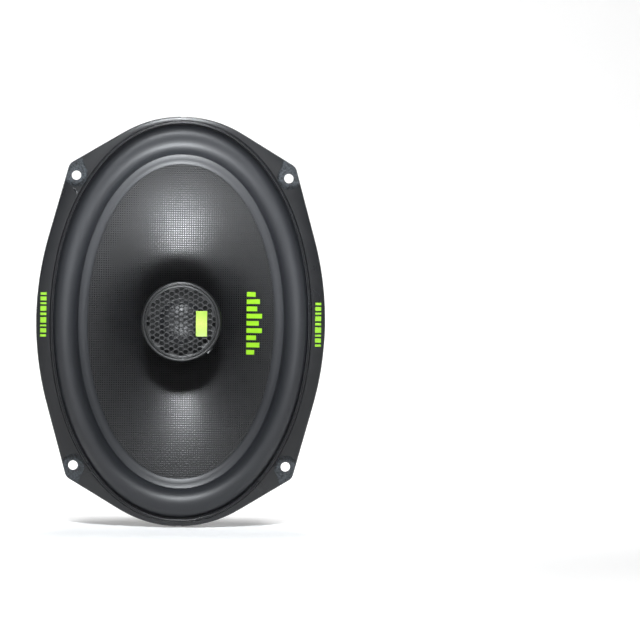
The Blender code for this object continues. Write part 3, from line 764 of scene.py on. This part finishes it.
def screw_places():
    return [(sx * SCREW_X, sz * SCREW_Z) for sx in (1, -1) for sz in (1, -1)]


def rivet_places():
    return ring_points(RIVET_CIRCLE_R, math.pi / 4, math.pi * 1.75, 4)


def basket_mesh():
    """The pressed frame with its screw holes, rivet holes, spoke slots, edge notches and tabs."""
    cuts = []
    for x, z in screw_places():
        cuts.append(slab([moved(round_outline(SCREW_HOLE_R, 40), x, z)], -6.0, 4.0))
    for x, z in rivet_places():
        cuts.append(slab([moved(round_outline(RIVET_HOLE_R, 24), x, z)], 38.0, 46.0))
    for slope in map(math.radians, SLOT_TURNS):
        place = SLOT_REACH * math.cos(slope), SLOT_REACH * math.sin(slope)
        cuts.append(slab([stadium(SLOT_LENGTH, SLOT_WIDTH, slope, *place)], 13.0, 50.0))
    tabs = []
    for side in (1, -1):
        end = side * HALF_HEIGHT
        cuts.append(slab([box_outline(-1.6, 1.6, end - 0.8, end + 0.8)], -6.0, 4.0))
        low, high = sorted((side * 54.0, side * 79.0))
        hole = box_outline(-2.5, 2.5, side * 74.0 - 2.5, side * 74.0 + 2.5)
        tabs.append(slab([box_outline(-5.1, 5.1, low, high), hole], 34.0, 35.5, 0.25))
    return carved(carved(basket_shell(), cuts), tabs, "UNION")


def trim_mesh():
    """Satin ring with a fine bead along its inner edge, cut away round the screws."""
    foot_y = -3.8
    inner, foot = oval_radius(TRIM_INNER), oval_radius(grown(ROLL_OUTER, 2.6))
    corners = [(edge_radius(1.0), TRIM_REAR, 0.1), (edge_radius(1.0), TRIM_FACE + 0.5, 0.5)]
    bead = ((1.6, 0.0, 0.1), (1.3, 0.45, 0.1), (1.05, -0.5, 0.3), (0.1, -0.5, 0.35))
    for out, drop, reach in bead:
        corners.append((oval_radius(grown(TRIM_INNER, out)), TRIM_FACE + drop, reach))
    corners += [(inner, foot_y, 0.05), (foot, foot_y, 0.05), (foot, TRIM_REAR, 0.05)]
    ring = lofted(corners, flange_angles(2.0), 3)
    cuts = []
    for x, z in screw_places():
        turn = math.atan2(z, x)
        arc = ring_points(TRIM_RELIEF_R, turn + math.pi / 2, turn + math.pi * 1.5, 33)
        reach = ring_points(30.0, turn - 0.5, turn + 0.5, 2)
        cuts.append(slab([moved(arc + reach, x, z)], -12.0, 4.0))
    return carved(ring, cuts)


# Height of the rubber roll, from its outer foot (0) to its inner foot (1).
ROLL_SHAPE = (
    (0.0, -3.4), (0.02, -4.0), (0.08, -5.5), (0.17, -6.9), (0.29, -7.85), (0.43, -8.2),
    (0.58, -7.95), (0.72, -7.1), (0.84, -5.6), (0.93, -3.6), (0.98, -1.9), (1.0, -0.9),
)


def cone_front(share):
    """Depth of the cone's front face, from 0 at the neck to 1 at the edge."""
    curved = 0.45 * share + 0.55 * (1 - (1 - share) ** 2)
    return CONE_NECK_Y + (CONE_EDGE_Y - CONE_NECK_Y) * curved


def cone_radius(share):
    edge = (ROLL_INNER[0] - 0.6, ROLL_INNER[1] - 0.6)
    power = 2.0 + (OVAL_POWER - 2.0) * share
    return oval_radius(between((CONE_NECK_R, CONE_NECK_R), edge, share), power)


def cone_depth(x, z):
    """Depth of the cone's front face at a place across it."""
    angle, reach = math.atan2(z, x), math.hypot(x, z)
    low, high = 0.0, 1.0
    for _ in range(24):
        middle = (low + high) / 2
        if cone_radius(middle)(angle) < reach:
            low = middle
        else:
            high = middle
    return cone_front(low)


def smoothstep(share):
    share = min(1.0, max(0.0, share))
    return share * share * (3 - 2 * share)


def flex(obj, outer, inner):
    """Bakes a soft ring's placement into its mesh and works out each vertex's share from the outer edge
    (0) to the inner (1); the shares are not kept.
    """
    outer(math.pi / 2) * MM
    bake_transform(obj)
    for vertex in obj.data.vertices:
        x, z = vertex.co.x / MM, vertex.co.z / MM
        angle = math.atan2(z, x)
        edge = outer(angle)
        smoothstep((edge - math.hypot(x, z)) / (edge - inner(angle)))


def add_surround():
    """The rubber roll with its glue foot outside and its land on the cone inside."""
    land = cone_front(0.94) - 0.3 - RUBBER
    front = [(grown(ROLL_OUTER, 2.2), FOOT_FRONT)]
    for share, y in smooth_curve(ROLL_SHAPE, 4):
        front.append((between(ROLL_OUTER, ROLL_INNER, share), y))
    foot = front[-1][1] + 0.25
    for share, y in ((0.06, foot), (0.5, (foot + land) / 2), (0.93, land - 0.1), (1.0, land + 0.25)):
        front.append((between(ROLL_INNER, WEAVE_EDGE, share), y))
    rear = [(size, y + RUBBER) for size, y in reversed(front)]
    radii = [(oval_radius(size), y) for size, y in front + rear]
    angles = even_angles(180)
    mesh = ring_mesh([[(radius(angle), y) for radius, y in radii] for angle in angles], angles)
    obj = piece("surround_roll", mesh, BUTYL, "surround_rubber", ["surround"], None)
    flex(obj, oval_radius(ROLL_OUTER), oval_radius(ROLL_INNER))


def add_cone():
    """The woven cone, 1.1 mm thick, with a short collar round the coil's former."""
    wall = 1.1
    collar_rear = 29.4
    shares = np.linspace(0, 1, 29)
    front = [(cone_radius(s), cone_front(s)) for s in reversed(shares)]
    rear = [(cone_radius(s), cone_front(s) + wall) for s in shares[1:]]
    lip = circle_radius(CONE_NECK_R + 0.9)
    collar = [(circle_radius(CONE_NECK_R), collar_rear), (lip, collar_rear), (lip, 28.0)]
    angles = even_angles(160)
    sections = [[(radius(a), y) for radius, y in front + collar + rear] for a in angles]
    mesh = ring_mesh(sections, angles)
    piece("woven_cone", mesh, WOVEN, "cone_weave", ["cone"], "cone_assembly")


def add_spider():
    """A corrugated cloth disc between the basket's ledge and the cone's neck."""
    level = 32.6
    waves = 7
    steps = waves * 6
    outer, reach, thick = 45.2, 25.7, 0.6
    front = [(56.0, level), (47.0, level)]
    for i in range(steps + 1):
        share = i / steps
        rise = math.sin(math.pi * (share * (waves - 1) + 0.5)) * (0.95 if 0 < i < steps else 0.7)
        front.append((outer - reach * share, level - rise))
    front += [(17.2, level), (CONE_NECK_R, level - 0.8)]
    rear = [(r, y + thick) for r, y in reversed(front)]
    mesh = ring_mesh([front + rear] * 120, even_angles(120))
    obj = piece("spider_cloth", mesh, COTTON, "spider_cloth", ["spider"], None)
    flex(obj, circle_radius(48.0), circle_radius(16.6))


def add_coil():
    for name, node, bore, edge, finish, slot in (
        ("coil_former", "voice_coil_former", 14.6, 0.1, KAPTON, "coil_former"),
        ("coil_winding", "voice_coil_winding", 15.3, 0.3, COPPER, "coil_wire"),
    ):
        piece(name, sleeve(node, bore, edge), finish, slot, [node], "cone_assembly")
    for sign in ("positive", "negative"):
        node = f"coil_tag_{sign}"
        middle = sum(span(node)) / 2
        turn = math.atan2(middle[2], middle[0]) + math.pi / 2
        mesh = block(middle, (2.2, 0.9, 1.4), turn, 0.2)
        piece(f"coil_solder_{sign}", mesh, SOLDER, "terminal_metal", [node], "cone_assembly")


POSITIVE_X = -13.0
NEGATIVE_X = 10.0
LEADS = (("positive", -1, 0.9, POSITIVE_X), ("negative", 1, 0.7, NEGATIVE_X))


def add_tinsel():
    for name, x in (("positive", POSITIVE_X), ("negative", NEGATIVE_X)):
        away = np.array((x * 0.45, -16.5)) / math.hypot(x * 0.45, 16.5) * 17.9
        points = [
            (away[0], 30.3, away[1]), (away[0] * 1.25, 29.4, -25.0), (x * 0.62, 29.0, -36.0),
            (x * 0.78, 29.8, -48.0), (x * 0.90, 30.9, -58.0), (x, 32.6, -66.0), (x, 34.6, -71.0),
        ]
        mesh = tube(smooth_curve(points, 10), 0.6, 12)
        node = f"tinsel_lead_{name}"
        obj = piece(f"tinsel_{name}", mesh, TINSEL, "tinsel_braid", [node], None)
        start, end = np.array(points[-1]) * MM, np.array(points[0]) * MM
        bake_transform(obj)


def add_leads():
    """Two leads from the tweeter, down the post, under the boot and forward to the terminals."""
    for name, side, radius, lug_x in LEADS:
        x = side * 1.1
        start = -side
        points = [
            (x, 8.4, start * 17.0), (x, 8.4, start * 5.0), (x, 9.0, start * 2.6),
            (x, 10.6, start * 1.0), (x, 13.0, start * 0.2), (x, 18.0, 0.0), (x, 72.0, 0.0),
            (x, 77.2, -0.3), (x, 79.0, -2.2), (x, 79.3, -6.0), (x, 79.3, -40.0), (x, 78.6, -50.0),
            (x, 77.0, -56.0), (x * 1.2, 73.6, -61.0), (x * 1.8, 64.0, -63.6),
            (x * 3.6, 54.0, -66.4), (lug_x * 0.72, 45.6, -70.6), (lug_x * 0.97, 41.4, -74.6),
        ]
        finish, slot = (RED, "red_wire") if name == "positive" else (GREY, "black_wire")
        mesh = tube(smooth_curve(points, 8), radius, 16)
        piece(f"lead_{name}", mesh, finish, slot, [f"tweeter_lead_{name}"])


# Motor, boot and label.


def add_motor():
    piece("front_plate", sleeve("top_plate", 17.0, 0.5), ZINC, "plated_steel", ["top_plate"])
    piece("ferrite_ring", sleeve("magnet", 22.0, 0.8), FERRITE, "ferrite", ["magnet"])
    rear, pole_face, outer, _ = round_box("yoke")
    plate_front = rear - 5.0
    pole, bore = 14.2, 5.3
    corners = [
        (outer, rear, 0.6), (outer, plate_front, 0.6), (pole, plate_front, 0.3),
        (pole, pole_face, 0.6), (bore, pole_face, 0.3), (bore, rear, 0.3),
    ]
    piece("back_yoke", spun(corners, 128), ZINC, "plated_steel", ["yoke"])
    for number, place in enumerate(rivet_places(), 1):
        rear, front = round_box(f"plate_rivet_{number}")[:2]
        corners = [
            (0.0, rear, 0), (2.2, rear, 0.2), (2.2, 40.2, 0.1), (4.0, 40.2, 0.3),
            (3.2, front, 0.7), (0.0, front, 0),
        ]
        mesh = spun(corners, 40, 4, place)
        piece(f"rivet_{number}", mesh, ZINC, "plated_steel", [f"plate_rivet_{number}"])


def add_boot():
    """Rubber cup over the magnet with a soft rear edge and a moulded lip round its mouth."""
    outer = BOOT_HIGH[0]
    rear, front = BOOT_HIGH[1], BOOT_LOW[1]
    corners = [
        (0.0, rear, 0), (53.4, rear, 0.4), (53.8, rear - 0.35, 0.25),
        (outer - 2.6, rear - 0.35, 1.4), (outer, rear - 3.6, 1.8), (outer, front + 3.2, 0.3),
        (outer - 0.5, front + 2.8, 0.3), (outer - 0.5, front, 0.5), (54.4, front, 0.4),
        (54.4, rear - 2.6, 0.8), (0.0, rear - 2.6, 0),
    ]
    cup = spun(corners, 160)
    outline = stadium(6.4, 5.2, 0.0, -0.2, 0.0)
    hole = slab([outline], 50.0, 60.0)
    turn = Matrix.Rotation(-math.pi / 2, 4, "X")
    hole.transform(Matrix.Translation((0, 76.7 * MM, 0)) @ turn)
    piece("rubber_boot", carved(cup, [hole]), BOOT, "boot_rubber", ["magnet_boot"])


def printed(name, outlines, finish):
    """Ink on the label's face, one thin raised film for all the outlines."""
    piece(name, joined([slab([outline], *INK_DEPTHS) for outline in outlines]), finish, "label")


def row(middle, tall, runs, space):
    """Outlines of a row of solid blocks, centred, from their widths."""
    x = -(sum(runs) + space * (len(runs) - 1)) / 2
    outlines = []
    for wide in runs:
        outlines.append(box_outline(x, x + wide, middle - tall / 2, middle + tall / 2))
        x += wide + space
    return outlines


def level_bars():
    """A plain row of rising and falling bars at the top of the label."""
    heights = (5.0, 8.5, 6.5, 11.0, 9.0, 12.5, 8.0, 10.5, 6.0, 8.0, 4.5)
    places = [(number - 5) * 4.6 for number in range(len(heights))]
    return [box_outline(x - 1.5, x + 1.5, 25.0, 25.0 + tall) for x, tall in zip(places, heights)]


def code_bars():
    """Narrow and wide bars in a repeating order, which stand for no number."""
    outlines = []
    x = -11.5
    for number in range(26):
        wide = (0.35, 0.7, 0.35, 0.5)[number * 7 % 4]
        outlines.append(box_outline(x, x + wide, -38.0, -29.4))
        x += wide + (0.4, 0.55, 0.35)[number * 5 % 3]
    return outlines


def side_rules():
    """Fine upright lines down both sides of the label, shorter towards the middle."""
    outlines = []
    for number in range(9):
        for side in (1, -1):
            x = side * (49.2 - number * 1.9)
            reach = math.sqrt(50.6**2 - x * x) * (0.92 - number * 0.05)
            outlines.append(box_outline(x - 0.3, x + 0.3, -reach, reach))
    return outlines


def add_label():
    front, radius = LABEL_LOW[1], LABEL_HIGH[0]
    corners = [(0.0, LABEL_FACE, 0), (radius, LABEL_FACE, 0.04), (radius, front, 0.04), (0.0, front, 0)]
    piece("label_face", spun(corners, 160), VINYL, "label", ["rear_label"])
    border = [round_outline(radius - inset, 160) for inset in (0.5, 1.0)]
    piece("label_ring", slab(border, *INK_DEPTHS), INK, "label")
    black = level_bars() + row(20.4, 1.8, (6, 9, 7, 12, 8), 1.6) + row(-8.6, 2.6, (6, 3, 8), 1.8)
    black += row(-14.2, 2.2, (5, 3, 11, 14, 9), 1.6) + row(-40.8, 1.5, (3,) * 7, 0.8)
    black += row(-44.0, 1.5, (7, 4, 9), 1.4) + code_bars() + row(-11.4, 0.4, (58,), 0.0)
    printed("label_black_print", black, INK)
    green = row(4.6, 9.0, (7, 6, 3, 7, 6, 6, 9, 7, 7), 1.5) + row(-22.0, 4.6, (5, 5), 1.2)
    green += [box_outline(x, x + 3.4, -24.3, -19.7) for x in (-22.5, -17.8, 14.4, 19.1)]
    printed("label_green_print", green, LEAF)
    printed("label_side_rules", side_rules(), PALE)


# Terminals and the pieces behind the cone.


def add_board():
    low, high = STRIP_LOW, STRIP_HIGH
    hole = box_outline(-1.6, 1.6, -75.6, -72.4)
    edge = box_outline(low[0], high[0], low[2], high[2])
    board = slab([edge, hole], low[1], high[1], 0.2)
    piece("terminal_board", board, PHENOLIC, "strip_board", ["terminal_strip"])
    corners = [
        (0.0, 39.4, 0), (2.4, 39.4, 0.7), (2.6, 38.4, 0.2), (1.2, 38.4, 0.1),
        (1.2, 33.0, 0.2), (0.0, 33.0, 0),
    ]
    rivet = spun(corners, 32, 3, (0.0, -74.0))
    piece("board_rivet", rivet, ZINC, "plated_steel", ["terminal_rivet"])


def add_terminals():
    """Two spade terminals on the board, each with a lead's solder in its eye."""
    base = STRIP_HIGH[1] + 0.3
    eye_z = -75.6
    for sign, side, half, x in (("positive", -1, 3.15, POSITIVE_X), ("negative", 1, 2.4, NEGATIVE_X)):
        eye = moved(round_outline(1.0, 24), x, eye_z)
        lug = slab([box_outline(x - 3.2, x + 3.2, -79.5, -73.6), eye], base, base + 0.8, 0.12)
        middle = (x + side * 3.4, base + 0.3 + half, -71.3)
        blade = block(middle, (0.8, 2 * half, 9.0), -side * math.radians(25), 0.12)
        both = carved(lug, [blade], "UNION")
        piece(f"blade_{sign}", both, TINNED, "terminal_metal", [f"terminal_{sign}"])
        foot = base + 0.75
        corners = [(0.0, 42.2, 0), (1.5, 41.6, 0.5), (2.2, 40.0, 0.6), (2.5, foot, 0.2), (0.0, foot, 0)]
        blob = spun(corners, 28, 4, (x, eye_z))
        piece(f"solder_{sign}", blob, SOLDER, "terminal_metal")


def add_polarity_marks():
    """A printed plus and minus on the board, below the terminals."""
    rear = STRIP_HIGH[1]
    strokes = [box_outline(x - 1.6, x + 1.6, -81.25, -80.75) for x in (POSITIVE_X, NEGATIVE_X)]
    strokes.append(box_outline(POSITIVE_X - 0.25, POSITIVE_X + 0.25, -82.2, -79.8))
    film = [slab([stroke], rear - 0.01, rear + 0.04) for stroke in strokes]
    piece("polarity_marks", joined(film), GREEN_INK, "badge")


def add_post():
    corners = [
        (5.0, 77.6, 0.4), (5.0, 13.4, 0.4), (9.0, 13.4, 0.3), (9.0, 11.9, 0.3), (3.0, 11.9, 0.3),
        (3.0, 77.6, 0.3),
    ]
    piece("hollow_post", spun(corners, 72), ZINC, "plated_steel", ["tweeter_post"])
    piece("flat_washer", sleeve("post_washer", 5.3, 0.2, 64), ZINC, "plated_steel", ["post_washer"])
    low, high = span("post_nut")
    across = ring_points(16.0 / math.sqrt(3), 0, 2 * math.pi * 5 / 6, 6)
    nut = slab([across, round_outline(5.2, 48)], low[1], high[1], 0.35)
    piece("hex_nut", nut, ZINC, "plated_steel", ["post_nut"])


# The tweeter.

HEX_PITCH = 3.15
HEX_WEB = 0.6
HEX_FIELD = 19.4


def hex_holes():
    """Honeycomb holes in columns, the outer ones trimmed to the round field."""
    columns = HEX_PITCH * math.sqrt(3) / 2
    size = (HEX_PITCH - HEX_WEB) / math.sqrt(3)
    holes = []
    for i in range(-8, 9):
        for j in range(-8, 9):
            x = i * columns
            z = (j + 0.5 * (i % 2)) * HEX_PITCH
            if math.hypot(x, z) > HEX_FIELD - 0.1:
                continue
            outline = []
            for k in range(6):
                px = x + size * math.cos(math.radians(60 * k))
                pz = z + size * math.sin(math.radians(60 * k))
                trim = min(1.0, (HEX_FIELD + 0.35) / math.hypot(px, pz))
                outline.append((px * trim, pz * trim))
            holes.append(outline)
    return holes


def add_grille():
    radius = GRILLE_HIGH[0]
    loops = [round_outline(radius - 0.9, 120), *hex_holes()]
    web = slab(loops, GRILLE_LOW[1] + 0.15, GRILLE_HIGH[1], 0.1)
    piece("honeycomb_grille", web, TWEETER_ABS, "tweeter_plastic", ["tweeter_grille"])
    corners = [
        (radius, GRILLE_HIGH[1], 0.1), (radius, GRILLE_LOW[1], 0.3),
        (radius - 0.95, GRILLE_LOW[1], 0.3), (radius - 0.95, GRILLE_HIGH[1], 0.1),
    ]
    piece("grille_rim", spun(corners, 120), TWEETER_ABS, "tweeter_plastic")
    low, high = span("grille_badge")
    outline = box_outline(low[0], high[0], low[2], high[2])
    plate = slab([outline], low[1], high[1], 0.12)
    piece("green_badge", plate, BADGE, "badge", ["grille_badge"])


def add_tweeter_shells():
    corners = [
        (23.0, -1.0, 0.3), (23.0, -8.9, 0.6), (22.2, -9.6, 0.5), (21.3, -9.6, 0.2),
        (21.3, -7.8, 0.1), (19.8, -7.8, 0.2), (19.8, -6.6, 0.2), (22.3, -6.6, 0.2),
        (22.3, -1.0, 0.2),
    ]
    ring = spun(corners, 144)
    turn = math.radians(-45)
    lug = block((23.2 * math.cos(turn), -3.8, 23.2 * math.sin(turn)), (1.6, 4.4, 4.4), turn, 0.25)
    piece("tweeter_ring", carved(ring, [lug], "UNION"), TWEETER_ABS, "tweeter_plastic", ["tweeter_bezel"])
    corners = [
        (21.0, 11.6, 0.8), (22.0, 10.4, 0.8), (22.0, -6.3, 0.2), (20.4, -6.3, 0.2),
        (20.4, 10.0, 0.5), (4.2, 10.0, 0.2), (4.2, 11.6, 0.2),
    ]
    piece("tweeter_can", spun(corners, 120), TWEETER_ABS, "tweeter_plastic", ["tweeter_cup"])
    baffle = sleeve("tweeter_baffle", 13.2, 0.2)
    piece("baffle_ring", baffle, SHADED_MATT_ABS, "tweeter_plastic", ["tweeter_baffle"])


def add_dome():
    """Half-round film dome with a small roll round it, and the coil that drives it."""
    thick = 0.4
    front = [
        (0.0, -6.4), (3.0, -6.2), (6.0, -5.6), (9.0, -4.45), (11.2, -2.95), (12.7, -1.6),
        (12.9, -1.5), (13.4, -1.72), (14.0, -1.72), (14.4, -1.6), (14.8, -1.6),
    ]
    section = front + [(r, y + thick) for r, y in reversed(front)]
    dome = ring_mesh([section] * 96, even_angles(96))
    piece("film_dome", dome, FILM, "dome_film", ["tweeter_dome"], "tweeter_diaphragm")
    coil = sleeve("tweeter_voice_coil", 12.2, 0.1, 96)
    piece("small_coil", coil, COPPER, "coil_wire", ["tweeter_voice_coil"], "tweeter_diaphragm")


def add_tweeter_motor():
    for name, node, edge in (
        ("pole_disc", "tweeter_pole_plate", 0.3),
        ("neodymium_disc", "tweeter_magnet", 0.4),
    ):
        piece(name, slug(node, edge), NICKEL, "nickel_plate", [node])
    rear, front, outer, _ = round_box("tweeter_yoke")
    gap, floor = 13.1, 5.3
    corners = [
        (0.0, rear, 0), (outer, rear, 0.8), (outer, front, 0.3), (gap, front, 0.2),
        (gap, floor, 0.4), (0.0, floor, 0),
    ]
    piece("small_yoke", spun(corners, 96), NICKEL, "nickel_plate", ["tweeter_yoke"])
    can = slug("tweeter_capacitor", 0.5, 40)
    piece("film_capacitor", can, SLEEVE, "capacitor_sleeve", ["tweeter_capacitor"])


# Printed marks.


def cone_patch(x0, x1, z0, z1, columns=6, rows=2):
    """A thin film of ink that follows the cone's front face."""
    heights = np.linspace(z0, z1, rows + 1)
    section = [(z, 0.12) for z in heights] + [(z, 0.0) for z in heights[::-1]]
    places = np.linspace(x0, x1, columns + 1)
    return skinned([[(x, cone_depth(x, z) - lift, z) for z, lift in section] for x in places])


def add_prints():
    """Generic level-meter bars on the cone and short dashes on both sides of the trim."""
    bars = []
    for number, reach in enumerate((5.0, 7.5, 6.0, 8.8, 7.0, 8.8, 5.5, 7.5, 4.5)):
        z = 16.2 - number * 4.2
        bars.append(cone_patch(37.9, 37.9 + reach, z - 1.35, z + 1.35))
    piece("cone_mark", joined(bars), GREEN_INK, "badge", (), "cone_assembly")
    dashes = []
    for side, middle in ((-1, 3.0), (1, -1.0)):
        x = side * 78.7
        z = middle - 12.6
        for height in (1.3, 2.4, 1.1, 3.2, 1.5, 2.7, 1.1, 2.2, 1.4):
            outline = box_outline(x - 1.7, x + 1.7, z, z + height)
            dashes.append(slab([outline], TRIM_FACE - 0.05, TRIM_FACE + 0.02))
            z += height + 1.05
    piece("trim_dashes", joined(dashes), GREEN_INK, "badge")


# Floor, light and camera.


def stage_paper():
    """Matt white studio paper, lit a little from behind: even, with a trace of fibre."""
    made = grained("matt white paper", "#F4F4F4", "#F0F0F0", 0.9, 1.5, 0.01, 0.02, 0.0, 1.45)
    shader = made.node_tree.nodes["Principled BSDF"]
    shader.inputs["Emission Color"].default_value = (1.0, 1.0, 1.0, 1.0)
    shader.inputs["Emission Strength"].default_value = 0.2
    return made


def add_stage():
    """A sweep of paper: flat under the speaker, curved up behind it."""
    level = -HALF_HEIGHT * MM
    half_width, bend, wall = 4.0, 0.9, 1.2
    path = [(-3.0, level), (0.9, level)]
    for angle in np.linspace(-math.pi / 2, 0, 24):
        path.append((wall + bend * math.cos(angle), level + bend + bend * math.sin(angle)))
    path.append((wall + bend, 3.5))
    verts = [(x, y, z) for x in (-half_width, half_width) for y, z in path]
    count = len(path)
    faces = [(i, i + 1, count + i + 1, count + i) for i in range(count - 1)]
    mesh = bpy.data.meshes.new("paper_sweep")
    mesh.from_pydata(verts, [], faces)
    mesh.shade_smooth()
    mesh.materials.append(stage_paper())
    shown("paper_sweep", mesh)


def add_softbox(name, place, target, size, power, spread, tint=(1.0, 1.0, 1.0)):
    """A soft rectangular light whose grid keeps it within a spread of some degrees."""
    light = bpy.data.lights.new(name, "AREA")
    light.spread = math.radians(spread)
    light.shape = "RECTANGLE"
    light.size, light.size_y = size
    light.energy = power
    light.color = tint
    lamp = shown(name, light)
    lamp.location = place
    lamp.rotation_euler = (Vector(target) - Vector(place)).to_track_quat("-Z", "Y").to_euler()
    lamp.visible_camera = False


def add_room():
    """A dim room with a pale band of wall all round, at the height of the horizon."""
    world = bpy.data.worlds.new("studio")
    world.use_nodes = True
    tree = world.node_tree
    toward = add(tree, "ShaderNodeTexCoord").outputs["Generated"]
    height = add(tree, SPLIT, {"Vector": toward}).outputs["Z"]
    band = add(tree, RANGE, limits(height, 0.05, 0.40, 0.24, 0.05), interpolation_type="SMOOTHSTEP")
    background = tree.nodes["Background"]
    background.inputs["Color"].default_value = (1.0, 1.0, 1.0, 1.0)
    tree.links.new(band.outputs["Result"], background.inputs["Strength"])
    bpy.context.scene.world = world


COOL = (0.93, 0.965, 1.0)  # the two key lights are a little bluer than the room


def add_lights():
    add_room()
    bpy.context.scene.view_settings.view_transform = "Standard"
    add_softbox("overhead_softbox", (-0.03, -0.80, 0.66), (0, 0, -0.05), (0.24, 0.18), 0.4, 26, COOL)
    add_softbox("low_softbox", (0.008, -0.19, -0.105), (0, 0, 0.06), (0.12, 0.09), 0.205, 50, COOL)
    add_softbox("front_softbox", (0.0, -1.8, 0.42), (0, 0, 0.05), (0.5, 0.4), 0.15, 60)
    add_softbox("table_softbox", (0.05, 0.75, 1.5), (0.05, 0.55, 0), (0.3, 1.0), 13, 120)
    add_softbox("table_edge_softbox", (0.0, -0.55, 1.0), (0, -0.55, 0), (1.6, 0.1), 1.6, 40)
    add_softbox("sweep_softbox", (0.0, 0.9, 1.5), (0, 2.1, 0.4), (3.0, 0.8), 14, 140)


def add_camera():
    """Level with the axis, the speaker left of the middle of the frame."""
    distance = 1.3
    frame_width = 0.3694
    aim_right, aim_up, tilt = 0.0801, 0.0018, 0.7
    data = bpy.data.cameras.new("camera")
    data.sensor_width = 36.0
    data.lens = data.sensor_width * distance / frame_width
    camera = shown("camera", data)
    camera.location = (0.0, -distance, 0.0)
    yaw = Matrix.Rotation(-math.atan2(aim_right, distance), 4, "Z")
    pitch = Matrix.Rotation(math.pi / 2 + math.atan2(aim_up, distance), 4, "X")
    roll = Matrix.Rotation(math.radians(tilt), 4, "Z")
    camera.rotation_euler = (yaw @ pitch @ roll).to_euler()
    bpy.context.scene.camera = camera


add_camera()
piece("sand_coated_basket", basket_mesh(), BASKET_COAT, "basket_paint", ["basket"])
piece("satin_trim", trim_mesh(), TRIM_ABS, "trim_plastic", ["trim_ring"])
add_surround()
add_cone()
add_spider()
add_coil()
add_tinsel()
add_leads()
add_motor()
add_boot()
add_label()
add_board()
add_terminals()
add_polarity_marks()
add_post()
add_grille()
add_tweeter_shells()
add_dome()
add_tweeter_motor()
add_prints()
add_stage()
add_lights()
